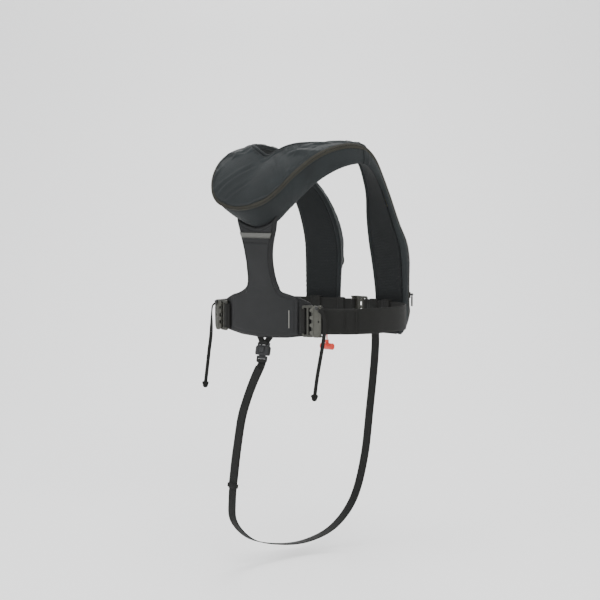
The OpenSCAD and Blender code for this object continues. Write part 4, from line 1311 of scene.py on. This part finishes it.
class JACKET_OT_spine(bpy.types.Operator):
    """Makes the laminated back, its pressed border, its reflective band and their stitching"""

    bl_idname = "jacket.spine"
    bl_label = "Laminated back"

    def execute(self, context):
        s = (edge_spread(73, 0.85) * 2 - 1)[None]
        level = np.concatenate([
            np.linspace(
                -0.1135, -0.1165, 6
            ), np.linspace(-0.118, -0.238, 72), np.linspace(-0.2392, -0.268, 46),
            np.linspace(-0.2695, -0.332, 40), np.linspace(-0.3328, -0.335, 4),
        ])[:, None]
        half = np.interp(level, BACK_HALF[:, 0], BACK_HALF[:, 1])
        smooth = np.convolve(np.pad(half[:, 0], 3, "edge"), np.ones(7) / 7, "valid")
        half[8:-8, 0] = smooth[8:-8]
        lean = np.gradient(half[:, 0], level[:, 0])[:, None]
        x = s * (half - 0.0004)
        dip = np.interp(np.abs(s) * 0.052, BACK_TOP[:, 0], BACK_TOP[:, 1]) + 0.1135
        sink = np.interp(np.abs(s) * 0.088, BACK_FOOT[:, 0], BACK_FOOT[:, 1]) + 0.335
        z = level + dip * np.clip(
            (level + 0.190) / 0.0765, 0, 1
        ) + sink * np.clip((level + 0.285) / -0.050, 0, 1)
        side_far = (half - np.abs(x)) / np.sqrt(1 + lean**2)
        end_far = np.minimum(z[:1] - z, z - z[-1:])
        inset = np.minimum(side_far, end_far)
        full = pillow(side_far, end_far, 0.0055)
        groove = np.exp(-(((inset - 0.0062) / 0.0012) ** 2))
        seam = np.exp(-(((z + 0.1625) / 0.0016) ** 2)) * (np.abs(x) < half - 0.006) * 0.0008
        sag = 0.0004 * np.sin(x * 88) * np.sin(z * 61) + 0.0003 * np.sin(z * 210 + x * 70)
        high = 0.0022 + (SPINE_T - 0.0027) * full - groove * 0.0014 - seam + sag * full
        flat = 0.0073 + 0.0013 * full + 0.0010 * np.clip(
            (inset - 0.006) / 0.0024, 0, 1
        ) - groove * 0.0005 + sag * 0.6 * full
        k = np.clip((z + 0.240) / -0.022, 0, 1)
        k = k * k * (3 - 2 * k)
        crest = 0.0018 * np.clip(1 - (z[:1] - z) / 0.006, 0, 1)
        outer = spine_place(x, z + crest, high) * (1 - k[..., None]) + back_place(x, z, flat) * k[..., None]
        k = np.clip((z + 0.246) / -0.006, 0, 1)[..., None]
        inner = spine_place(x, z, 0.0003 + 0 * z) * (1 - k) + back_place(x, z, 0.0065 + 0 * z) * k
        piece = closed_pad(
            "laminated_back", outer, inner, "laminate", ["spine_panel", "lumbar_cover"], outward=-1.0
        )
        rows = np.linspace(-0.1424, -0.1536, 9)
        wide = np.interp(rows, [-0.154, -0.142], [0.0376, 0.0426])
        bx = np.linspace(-1, 1, 41)[None] * wide[:, None]
        bz = np.repeat(rows[:, None], 41, 1)
        edge = np.abs(np.linspace(-1, 1, 9))[:, None] ** 8 * 0.0005
        lift = SPINE_T + 0.0009 - edge + 0.00015 * np.sin(bx * 300 + bz * 500)
        sheet_piece(
            "reflective_strip", spine_place(
                bx, bz, lift
            ), 0.0005, "reflective", "harness", ["spine_band"], inward=-1.0
        )
        for k, row in enumerate((-0.1434, -0.1526)):
            wide = float(np.interp(row, [-0.154, -0.142], [0.0366, 0.0416]))
            line = spine_place(np.linspace(-wide, wide, 60), np.full(60, row), SPINE_T + 0.0009)
            thread_on(stitches(f"band_stitching_{k}", line, np.tile([0, 1.0, 0], (60, 1))))
        zs = np.linspace(-0.121, -0.238, 110)
        for side in (-1, 1):
            wide = np.interp(zs, BACK_HALF[:, 0], BACK_HALF[:, 1]) - 0.0062
            line = spine_place(side * wide, zs, 0.0077)
            thread_on(
                stitches(
                    f"panel_stitching_{side + 1}", line, np.tile([side * 0.2, 1.0, 0], (110, 1))
                )
            )
        wide = 0.036
        line = spine_place(np.linspace(-wide, wide, 60), np.full(60, -0.1625), SPINE_T - 0.0007)
        thread_on(stitches("panel_cross_stitching", line, np.tile([0, 1.0, 0], (60, 1))))
        return {"FINISHED"}


def back_grid(half, top, foot, columns, rows):
    """Places on the back of the waist between two outlines: x and z for each row and column."""
    x = (edge_spread(columns, 0.9) * 2 - 1) * half
    r = edge_spread(rows, 0.85)
    high = np.interp(np.abs(x), top[:, 0], top[:, 1])
    low = np.interp(np.abs(x), foot[:, 0], foot[:, 1])
    z = high[None] * (1 - r[:, None]) + low[None] * r[:, None]
    return np.broadcast_to(x[None], z.shape), z, high, low


def back_place(x, z, off):
    y = (WAIST_B + off) * (1 - (np.abs(x) / (WAIST_A + off)) ** WAIST_N) ** (1 / WAIST_N)
    return np.stack(np.broadcast_arrays(x, y, z), -1)


class JACKET_OT_lumbar(bpy.types.Operator):
    """Makes the foam lumbar pad and the printed line on the laminate over it"""

    bl_idname = "jacket.lumbar"
    bl_label = "Lumbar pad"

    def execute(self, context):
        x, z, high, low = back_grid(0.1156, PAD_TOP - [0, 0.0004], PAD_FOOT + [0, 0.0004], 97, 44)
        full = pillow(0.1156 - np.abs(x), np.minimum(high[None] - z, z - low[None]), 0.005)
        wave = 0.0002 * np.sin(x * 140) * np.sin(z * 170)
        piece = closed_pad(
            "foam_lumbar_pad", back_place(
                x, z, 0.0028 + 0.0031 * full + wave * full
            ), back_place(x, z, 0.0007 + 0 * z),
            "pad_foam", ["lumbar_pad"], outward=-1.0,
        )
        tx = -0.070 + np.linspace(-0.0008, 0.0008, 5)
        tz = np.linspace(-0.289, -0.323, 30)
        grid = back_place(np.broadcast_to(tx[None], (30, 5)), np.broadcast_to(tz[:, None], (30, 5)), 0.0103)
        sheet_piece("printed_line", grid, 0.00025, "index_paint", "harness", ["lumbar_tick"], inward=-1.0)
        return {"FINISHED"}


# ---------------------------------------------------------------- webbing


def strap(
    name, path, side, width, thick, material, nodes, slot=None, body="harness", per=6, closed=False,
    step=0.003
):
    """Webbing of one width along a smooth path."""
    line = catmull(path, per, closed) if per else np.asarray(path, float)
    if not closed:
        line = even(line, step)
    outline = webbing_outline(width, thick, 14 if width > 0.03 else 8)
    return tube_piece(name, line, outline, side, material, body, nodes, slot, closed=closed)


def bartack(name, centre, across, normal, wide, rows=3, gap=0.0016):
    """Dense rows of thread sewn across a doubled strap."""
    across, normal = unit(np.asarray(across, float)), unit(np.asarray(normal, float))
    along = np.cross(across, normal)
    for k in range(rows):
        middle = np.asarray(centre) + along * (k - (rows - 1) / 2) * gap
        line = middle + across * np.linspace(-wide / 2, wide / 2, 20)[:, None]
        thread_on(stitches(f"{name}_{k}", line, np.tile(normal, (20, 1)), pitch=0.0021, run=0.0018))


def eye_points(u, n, r, start, end, count=9):
    """Points round a pin, in local along and out, from one angle to another."""
    a = np.radians(np.linspace(start, end, count))
    return [(u + r * math.cos(k), n + r * math.sin(k)) for k in a]


def belt_side(to, off):
    return [waist_point(phi, off) for phi in range(48, to + 1, 6)]


class JACKET_OT_belts(bpy.types.Operator):
    """Makes both halves of the waist belt, the frames' webbing loops, the keepers and the ring's strap"""

    bl_idname = "jacket.belts"
    bl_label = "Waist belt"

    def execute(self, context):
        rear, front = on_waist(REAR_X), on_front()
        mid = LOOP_R + BELT_T / 2 + 0.0001
        layer = BELT_T + 0.0002
        up = (0, 0, 1.0)
        width = sizes().belt

        def local(points, stand):
            return placed(np.array([(u, n, 0.0) for u, n in points]), stand)

        tail = np.array([(*waist_point(phi, BELT_MID + layer), BELT_Z) for phi in (62, 56, 50)])
        lead = [(0.0375, 0.0022 + layer), (0.0322, 0.0064)]
        eye = eye_points(*PIN, mid, 50, 270, 11)
        inner = [(0.0350, 0.0021)]
        head = np.concatenate([tail, local(lead, rear), local(eye, rear), local(inner, rear)])
        side = np.array([(x, y, BELT_Z) for x, y in belt_side(174, BELT_MID)])
        foot = [(0.036, 0.0022)] + eye_points(*PIN, mid, 270, 50, 11) + [(0.0322, 0.0064), (0.0385, 0.0050)]
        path = np.concatenate([head, side, local(foot, front)])
        strap("left_waist_webbing", path, up, width, BELT_T - 0.0002, "webbing", ["left_belt"])
        side = np.array([(x, y, BELT_Z) for x, y in belt_side(168, BELT_MID)])
        end = [(-0.023, 0.0012), (-0.0165, 0.0058), (-0.0125, 0.0069), (-0.0078, 0.0070), (-0.0054, 0.0086)]
        end += [(-0.0051, 0.0121), (-0.0078, 0.0140), (-0.0122, 0.0138), (-0.0160, 0.0100), (-0.0215, 0.0060)]
        path = np.concatenate([flip_x(np.concatenate([head, side])), local(end, front)])
        strap("right_waist_webbing", path, up, width, BELT_T - 0.0002, "webbing", ["right_belt"])

        loop = [(-0.0190, 0.0074), (-0.0140, 0.0074), (-0.0098, 0.0073), (-0.0066, 0.0082), (-0.0063, 0.0104)]
        loop += [
            (-0.0066, 0.0126), (-0.0098, 0.0134), (-0.0128, 0.0128), (-0.0155, 0.0100), (-0.0188, 0.0091)
        ]
        for name, flip in (("left", np.asarray), ("right", flip_x)):
            strap(
                f"{name}_frame_webbing", flip(local(loop, rear)), up, 0.046, 0.0015, "webbing", [
                    f"{name}_frame_loop"
                ],
                step=0.001,
            )
            for phi in (60, 52):
                x, y = waist_point(phi, BELT_MID + layer + BELT_T / 2)
                tilt = waist_tilt(x)
                normal = np.array([math.sin(tilt), math.cos(tilt), 0])
                where = np.array([x, y, BELT_Z])
                bartack(
                    f"{name}_belt_tack_{phi}", flip(where), (0, 0, 1), flip(normal), width * 0.84, 3,
                )
        self.loops(front)
        return {"FINISHED"}

    def loops(self, front):
        """The straps that stand on the belt's front."""
        for name, x, half, low, high, t in (
            ("left_belt_keeper", 0.095, 0.012, -0.0012, 0.0064, 0.0012),
            ("right_belt_keeper", -0.095, 0.012, -0.0012, 0.0064, 0.0012),
        ):
            stand = on_waist(x, 1, True)
            z = 0.0257
            ring = rounded(low, -z, high, z, 0.0022, 4)
            path = placed(np.array([(0.0, n, k) for n, k in ring]), stand)
            side = np.array(stand.to_3x3() @ Vector((1, 0, 0)))
            strap(name + "_webbing", path, side, 2 * half, t, "narrow_webbing", [name], per=2, closed=True)
        stand = on_waist(0.031, 1, True)
        z, low, high = 0.0253, -0.0005, 0.0047
        ring_n = 0.0008 + BELT_T + 0.0005 + 0.0016 + 0.0028 + 0.00045
        tunnel = [(
            ring_n + 0.0040 * math.cos(a), 0.0040 * math.sin(a)
        ) for a in np.radians(np.linspace(-118, 118, 15))]
        side = np.array(stand.to_3x3() @ Vector((1, 0, 0)))
        ring_path = [
            (high, 0.012), (high, z - 0.003), (high - 0.001, z), (low + 0.001, z), (low, z - 0.003),
            (low, 0.0)
        ]
        ring_path += [
            (low, -z + 0.003), (low + 0.001, -z), (high - 0.001, -z), (high, -z + 0.003), (high, -0.012)
        ]
        ring_path += [(0.0052, -0.0068)] + tunnel + [(0.0052, 0.0068)]
        path = placed(np.array([(0.0, n, k) for n, k in ring_path]), stand)
        strap(
            "ring_strap_webbing", path, side, 0.0162, 0.0015, "narrow_webbing", ["tether_ring_strap"], per=3,
            closed=True
        )


CROTCH = np.array([
    [11, 147, -425], [21, 157, -462], [28, 166, -502], [32, 174, -555], [35, 180, -608], [40, 182, -660],
    [43, 174, -706], [33, 135, -746], [17, 70, -765], [2, 5, -767], [-14, -58, -746], [-27, -105, -694],
    [-35, -130, -610], [-41, -140, -510], [-51, -141, -420], [-57, -138, -368],
]) / 1000.0
BUCKLE = Matrix.Translation((0, 0.1362, -0.369)) @ Matrix.Rotation(math.radians(12), 4, "X")
STRAP_T = 0.0018


class JACKET_OT_crotch(bpy.types.Operator):
    """Makes the crotch strap from its anchor on the back to its loop on the belt, with its tail"""

    bl_idname = "jacket.crotch"
    bl_label = "Crotch strap"

    def execute(self, context):
        side, width = (1.0, 0, 0), sizes().strap
        local = lambda points: placed(np.array([(0, y, z) for y, z in points]) / 1000.0, BUCKLE)
        head = local([
            (2.5, -25.4), (2.75, -22.2), (2.2, -19.5), (0, -18.65), (-2.2, -19.5), (-2.75, -22.2),
            (-1.6, -26.5), (-0.4, -31.0)
        ])
        stand = on_waist(-0.057, 1, True)
        loop = [
            (4.9, -26.5), (4.8, -10), (4.8, 10), (4.8, 22.5), (4.2, 25.2), (2.1, 26.2), (0.1, 25.4),
            (-0.6, 22.5)
        ]
        loop += [(-0.6, 0), (-0.6, -22.5), (0.1, -25.6), (2.0, -27.2)]
        foot = placed(np.array([(0, n, z) for n, z in loop]) / 1000.0, stand)
        path = np.concatenate([head, CROTCH, foot])
        strap(
            "crotch_strap_webbing", path, side, width, STRAP_T - 0.0001, "narrow_webbing", ["crotch_strap"],
            per=8
        )

        start = local([(0, -24.85), (0, -31.85)])
        route = np.concatenate([start + [[0, 0, 0], [0.0008, 0, 0]], CROTCH])
        u = np.linspace(1.2, 6.58, 90)
        line = spline(route, u)
        t = tangents(spline(route, np.linspace(1.2, 6.58, 90)))
        flat = unit(np.array([1.0, 0, 0]) - t * t[:, :1])
        out = np.cross(flat, t)
        gap = np.interp(u, [1.2, 1.7], [0.0021, 0.0022])[:, None]
        lift = 0.0006 * np.sin(np.linspace(0, math.pi * 3, 90))[:, None] ** 2
        tail = line + out * (gap + lift)
        strap(
            "crotch_strap_tail_webbing", tail, side, width, STRAP_T - 0.0001, "narrow_webbing",
            ["crotch_strap_tail"], per=0
        )
        end = line[-1] + out[-1] * 0.0034
        bartack(
            "tail_end_tack", end - t[-1] * 0.004, flat[-1], out[-1], width * 0.8, 4, 0.0013,
        )
        k = np.abs(u - 6.48).argmin()
        low, high, half = -0.0021, 0.0046, width / 2 + 0.0009
        ring = rounded(-half, low, half, high, 0.0012, 4)
        path = line[k] + np.array([flat[k] * a + out[k] * b for a, b in ring])
        strap(
            "crotch_tail_keeper_band", path, t[k], 0.0078, 0.0009, "narrow_webbing", ["crotch_tail_keeper"],
            per=2, closed=True
        )
        self.anchor()
        return {"FINISHED"}

    def anchor(self):
        """The webbing yoke that spreads from the buckle up under the lumbar pad."""
        for k in (-1, 1):
            points = [(2.0, 12.0), (7.0, 17.0), (13.0, 25.0), (19.5, 33.5)]
            path = placed(np.array([(x * k, -0.05 * k, z) for x, z in points]) / 1000.0, BUCKLE)
            out = np.array(BUCKLE.to_3x3() @ Vector((0, 1, 0)))
            strap_line = catmull(path, 8)
            side = unit(np.cross(tangents(strap_line), out))
            outline = webbing_outline(0.0135, 0.0014, 8)
            nodes = ["crotch_anchor"] if k == 1 else []
            tube_piece(
                f"crotch_yoke_{'left' if k > 0 else 'right'}", strap_line, outline, side,
                "narrow_webbing", "harness",
                nodes, "crotch_anchor",
            )
        ring = rounded(-0.0029, 0.0102, 0.0029, 0.0159, 0.0012, 4)
        path = placed(np.array([(0.0, y, z) for y, z in ring]), BUCKLE)
        strap(
            "crotch_yoke_loop", path, (1.0, 0, 0), 0.0222, 0.0013, "narrow_webbing", (), "crotch_anchor",
            per=2, closed=True
        )
        out = np.array(BUCKLE.to_3x3() @ Vector((0, 1, 0)))
        bartack(
            "yoke_tack", placed(np.array([(0, 0.0016, 0.0185)]), BUCKLE)[0], (1, 0, 0), out, 0.012, 3, 0.0013,
        )


# ---------------------------------------------------------------- hardware

UPRIGHT = Matrix(((1, 0, 0, 0), (0, 0, -1, 0), (0, 1, 0, 0), (0, 0, 0, 1)))


def frame_mesh():
    """A three-bar frame, rounded on every edge."""
    slots = [rounded(s * 0.0049 - 0.0027, -0.025, s * 0.0049 + 0.0027, 0.025, 0.001, 4) for s in (-1, 1)]
    return plate_mesh(rounded(-0.012, -0.030, 0.012, 0.030, 0.004, 8), slots, FRAME_T, sizes().edge)


FINGERS = (-0.021, -0.007, 0.007, 0.021)


def plate_outline():
    """The hook plate's outline: a bulging outer edge and four fingers.

    The fingers reach over the frame's outer bar.
    """
    points = []
    for z in np.linspace(-0.030, 0.030, 61):
        points.append((0.0215 + 0.0083 * math.sqrt(1 - min(1.0, abs(z) / 0.0303) ** 4), z))
    points.append((0.0150, 0.030))
    points.append((0.0118, 0.0272))
    for middle in FINGERS[::-1]:
        for a in np.radians(np.arange(0, 181, 20)):
            points.append((0.0082 - 0.0026 * math.sin(a), middle + 0.0034 * math.cos(a)))
        if middle > FINGERS[0]:
            points.append((0.0122, middle - 0.0046))
            points.append((0.0122, middle - 0.0094))
    points += [(0.0118, -0.0272), (0.0150, -0.030)]
    return points


def stand(depth):
    """Turns an outline upright and moves it to a depth."""
    return Matrix.Translation((0, depth, 0)) @ UPRIGHT


def hook_mesh():
    """The hook plate with its lip, its two lugs and its pin, as one piece."""
    edge = sizes().edge
    hole = [(0.0245 + 0.0021 * math.cos(a), 0.0021 * math.sin(a)) for a in np.radians([0, 90, 180, 270])]
    bits = [(plate_mesh(plate_outline(), [hole], PLATE_T, edge), stand(PLATE_N + PLATE_T / 2))]
    rib = plate_mesh(rounded(0.0134, -0.0250, 0.0150, 0.0250, 0.0007, 4), [], 0.0012, 0.0004)
    bits.append((rib, stand(PLATE_N + PLATE_T + 0.0002)))
    for z in FINGERS:
        bits.append((block_mesh(
            (0.0057, FRAME_N + 0.0002, z - 0.0026), (0.0073, PLATE_N + 0.0006, z + 0.0026), 0.0004
        ), Matrix()))
    for s in (-1, 1):
        z = s * 0.028
        low = (PIN[0] - 0.00325, PIN[1] - PIN_R - 0.00005, z - 0.0018)
        high = (PIN[0] + 0.00325, PLATE_N + 0.0005, z + 0.0018)
        bits.append((block_mesh(low, high, 0.0006), Matrix()))
    bits.append((rod_mesh((PIN[0], PIN[1], -0.0265), (PIN[0], PIN[1], 0.0265), PIN_R, 0.0002), Matrix()))
    return join_bits(bits)


def hardware_piece(name, mesh, matrix, material, body, node):
    mesh.transform(matrix)
    if matrix.determinant() < 0:
        mesh.flip_normals()
    piece = mesh_piece(name, mesh, material, body, [node])
    return crisp(piece, 35)


class JACKET_OT_hooks(bpy.types.Operator):
    """Makes the three hook buckles: frames, hook plates and the knobs on the release cords' ends"""

    bl_idname = "jacket.hooks"
    bl_label = "Hook buckles"

    def execute(self, context):
        sets = (
            ("left", on_waist(REAR_X), "left_hook"),
            ("right", on_waist(REAR_X, -1), "right_hook"),
            ("front", on_front(), "front_hook"),
        )
        for name, stand, body in sets:
            raised = stand @ Matrix.Translation((0, FRAME_N + FRAME_T / 2, 0)) @ UPRIGHT
            hardware_piece(f"{name}_buckle_frame", frame_mesh(), raised, "frame", "harness", f"{name}_frame")
            hardware_piece(f"{name}_buckle_hook", hook_mesh(), stand, "plate", body, f"{name}_hook_plate")
            if name != "front":
                self.knob(name, stand, body)
        return {"FINISHED"}

    def knob(self, name, stand, body):
        """The cord's black end, which sits on the hook plate's upper corner."""
        profile = [
            (0.0, 0.0), (0.0030, 0.0), (0.0036, 0.0006), (0.0038, 0.0018), (0.0034, 0.0030), (0.0024, 0.0038),
            (0.0, 0.0041)
        ]
        sides = 28
        points, n0 = [], PLATE_N + PLATE_T + 0.0001
        for r, h in profile:
            for a in np.linspace(0, 2 * math.pi, sides, endpoint=False):
                points.append((0.0215 + r * math.cos(a), n0 + h, 0.0255 + r * math.sin(a)))
        faces = lattice(len(profile), sides, True, True)
        piece = new_piece(
            f"{name}_cord_end", placed(points, stand), faces, "black_metal", body, slot=f"{name}_hook_plate"
        )
        bm = bmesh.new()
        bm.from_mesh(piece.data)
        bmesh.ops.remove_doubles(bm, verts=bm.verts, dist=1e-6)
        bmesh.ops.recalc_face_normals(bm, faces=bm.faces)
        bm.to_mesh(piece.data)
        bm.free()


class JACKET_OT_buckle(bpy.types.Operator):
    """Makes the quick-release buckle of the crotch strap: body, tongue and centre button"""

    bl_idname = "jacket.buckle"
    bl_label = "Crotch buckle"

    def execute(self, context):
        body = rounded(-0.0165, -0.011, 0.0165, 0.007, 0.0035, 6)
        window = rounded(-0.0074, -0.0056, 0.0074, 0.0056, 0.0012, 4)
        middle = [
            (-0.0158, 0.0060), (-0.0158, -0.0102), (-0.0085, -0.0102), (-0.0085, 0.003),
            (0.0085, 0.003), (0.0085, -0.0102), (0.0158, -0.0102), (0.0158, 0.0060),
        ]
        bits = [
            (plate_mesh(body, [], 0.0030, 0.0009), stand(-0.0031)),
            (plate_mesh(middle, [], 0.0034, 0.0003), stand(0.0)),
            (plate_mesh(body, [window], 0.0030, 0.0009), stand(0.0031)),
        ]
        loop = rounded(-0.0155, 0.002, 0.0155, 0.0145, 0.002, 5)
        bits.append((
            plate_mesh(loop, [rounded(-0.0116, 0.0092, 0.0116, 0.0112, 0.0006, 3)], 0.0032, 0.0006),
            stand(0.0)
        ))
        hardware_piece(
            "crotch_buckle_case", join_bits(bits), BUCKLE, "plastic", "harness", "crotch_buckle_body"
        )
        bits = [
            (plate_mesh(rounded(-0.008, -0.0128, 0.008, 0.001, 0.001, 4), [], 0.0022, 0.0004), stand(0.0)),
            (
                plate_mesh(
                    rounded(-0.0135, -0.0236, 0.0135, -0.012, 0.0022, 6),
                    [rounded(-0.0106, -0.0208, 0.0106, -0.0178, 0.0007, 3)], 0.0028, 0.0007,
                ),
                stand(0.0),
            ),
        ]
        hardware_piece(
            "crotch_buckle_prong", join_bits(bits), BUCKLE, "plastic", "harness", "crotch_buckle_tongue"
        )
        bits = [(block_mesh((-0.007, 0.0031, -0.0052), (0.007, 0.0053, 0.0052), 0.0006), Matrix())]
        bits.append((
            plate_mesh(rounded(-0.0058, -0.004, 0.0058, 0.004, 0.0016, 6), [], 0.0014, 0.0005), stand(0.0055)
        ))
        for k in (-1, 0, 1):
            bar = rounded(-0.0036, k * 0.0018 - 0.0003, 0.0036, k * 0.0018 + 0.0003, 0.00025, 3)
            bits.append((plate_mesh(bar, [], 0.0005, 0.0001), stand(0.0063)))
        hardware_piece(
            "crotch_buckle_press", join_bits(bits), BUCKLE,
            "button_plastic", "buckle_button", "crotch_buckle_button",
        )
        return {"FINISHED"}


class JACKET_OT_finishes(bpy.types.Operator):
    """Gives the gear, whistle, light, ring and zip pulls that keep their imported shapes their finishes"""

    bl_idname = "jacket.finishes"
    bl_label = "Gear finishes"

    def execute(self, context):
        kept = {
            "status_window_bezel": "plastic", "status_window_lens": "clear", "tether_ring": "steel",
            "left_zip_slider": "black_metal", "right_zip_slider": "black_metal",
            "left_zip_pull": "black_metal", "right_zip_pull": "black_metal",
            "inflator_body": "plastic", "gas_cylinder": "zinc", "firing_lever": "lever_plastic",
            "inflation_handle": "handle_plastic", "oral_tube": "plastic", "oral_valve": "handle_plastic",
            "oral_cap": "plastic", "whistle": "orange_plastic", "rescue_light": "white_plastic", "light_lens": "clear",
        }
        for node, name in kept.items():
            piece = paint(frame["nodes"][node], name)
            piece.data.set_sharp_from_angle(angle=math.radians(35))
        return {"FINISHED"}


class JACKET_OT_stage(bpy.types.Operator):
    """Lays a pale floor that rises softly behind the jacket, and sets soft studio lights"""

    bl_idname = "jacket.stage"
    bl_label = "Stage"

    def execute(self, context):
        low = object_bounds()[0][2] - 0.02
        away = np.array([0.6691, -0.7431])
        wide = np.array([0.7431, 0.6691])
        run = [(-4.0, 0.0)] + [
            (1.6 + 1.4 * math.sin(a), 1.4 - 1.4 * math.cos(a)) for a in np.radians(np.arange(0, 91, 6))
        ]
        run.append((3.0, 5.0))
        points = []
        for d, h in run:
            for w in np.linspace(-5, 5, 5):
                x, y = away * d + wide * w
                points.append((x, y, low + h))
        mesh = bpy.data.meshes.new("floor")
        mesh.from_pydata(points, [], lattice(len(run), 5, turn=False))
        mesh.shade_smooth()
        f = Finish("floor_paint")
        cloud = f.noise(1.4, 3.0)
        f.set(Base_Color=f.mix(cloud, (0.93, 0.93, 0.93), (0.95, 0.95, 0.95)), Roughness=0.75 + cloud * 0.1)
        mesh.materials.append(f.material)
        floor = bpy.data.objects.new("floor", mesh)
        context.scene.collection.objects.link(floor)
        floor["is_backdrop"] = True
        world = bpy.data.worlds.new("room")
        context.scene.world = world
        world.use_nodes = True
        back = world.node_tree.nodes["Background"]
        back.inputs["Color"].default_value = (0.98, 0.99, 1.0, 1.0)
        back.inputs["Strength"].default_value = 1.0
        centre = Vector((0, 0, -0.3))
        for name, place, size, power, tint in (
            ("key", (-2.6, 1.4, 1.6), 1.8, 80.0, (1.0, 0.98, 0.95)),
            ("fill", (1.4, 2.6, 0.4), 2.2, 32.0, (0.95, 0.97, 1.0)),
            ("rim", (1.8, -2.0, 1.8), 1.4, 60.0, (1.0, 1.0, 1.0)),
            ("top", (-0.2, 0.3, 2.4), 1.6, 40.0, (1.0, 1.0, 1.0)),
        ):
            data = bpy.data.lights.new(name, "AREA")
            data.size, data.energy, data.color = size, power, tint
            lamp = bpy.data.objects.new(name, data)
            lamp.location = place
            lamp.rotation_euler = (centre - lamp.location).to_track_quat("-Z", "Y").to_euler()
            context.scene.collection.objects.link(lamp)
        return {"FINISHED"}


class JACKET_PT_panel(bpy.types.Panel):
    """The jacket's sizes, colours and steps"""

    bl_idname = "JACKET_PT_panel"
    bl_label = "Life Jacket"
    bl_space_type = "VIEW_3D"
    bl_region_type = "UI"
    bl_category = "Life Jacket"

    def draw(self, context):
        for settings in (context.scene.jacket_sizes, context.scene.jacket_colours):
            box = self.layout.box()
            for key in settings.__annotations__:
                box.prop(settings, key)
        column = self.layout.column(align=True)
        for step in STEPS:
            column.operator(step.bl_idname)


STEPS = (
    JACKET_OT_camera,
    JACKET_OT_cords,
    JACKET_OT_covers,
    JACKET_OT_seams,
    JACKET_OT_zip,
    JACKET_OT_binding,
    JACKET_OT_bladder,
    JACKET_OT_spine,
    JACKET_OT_lumbar,
    JACKET_OT_belts,
    JACKET_OT_crotch,
    JACKET_OT_hooks,
    JACKET_OT_buckle,
    JACKET_OT_finishes,
    JACKET_OT_stage,
)
CLASSES = (JacketSizes, JacketColours, *STEPS, JACKET_PT_panel)


def register():
    for item in CLASSES:
        bpy.utils.register_class(item)
    bpy.types.Scene.jacket_sizes = PointerProperty(type=JacketSizes)
    bpy.types.Scene.jacket_colours = PointerProperty(type=JacketColours)


def unregister():
    del bpy.types.Scene.jacket_colours
    del bpy.types.Scene.jacket_sizes
    for item in reversed(CLASSES):
        bpy.utils.unregister_class(item)


def main():
    register()
    jacket = bpy.ops.jacket
    for step in (
        jacket.camera, jacket.cords, jacket.covers, jacket.seams, jacket.zip, jacket.binding, jacket.bladder,
        jacket.spine, jacket.lumbar, jacket.belts, jacket.crotch, jacket.hooks, jacket.buckle, jacket.finishes,
        jacket.stage,
    ):
        step()


if __name__ == "__main__":
    main()
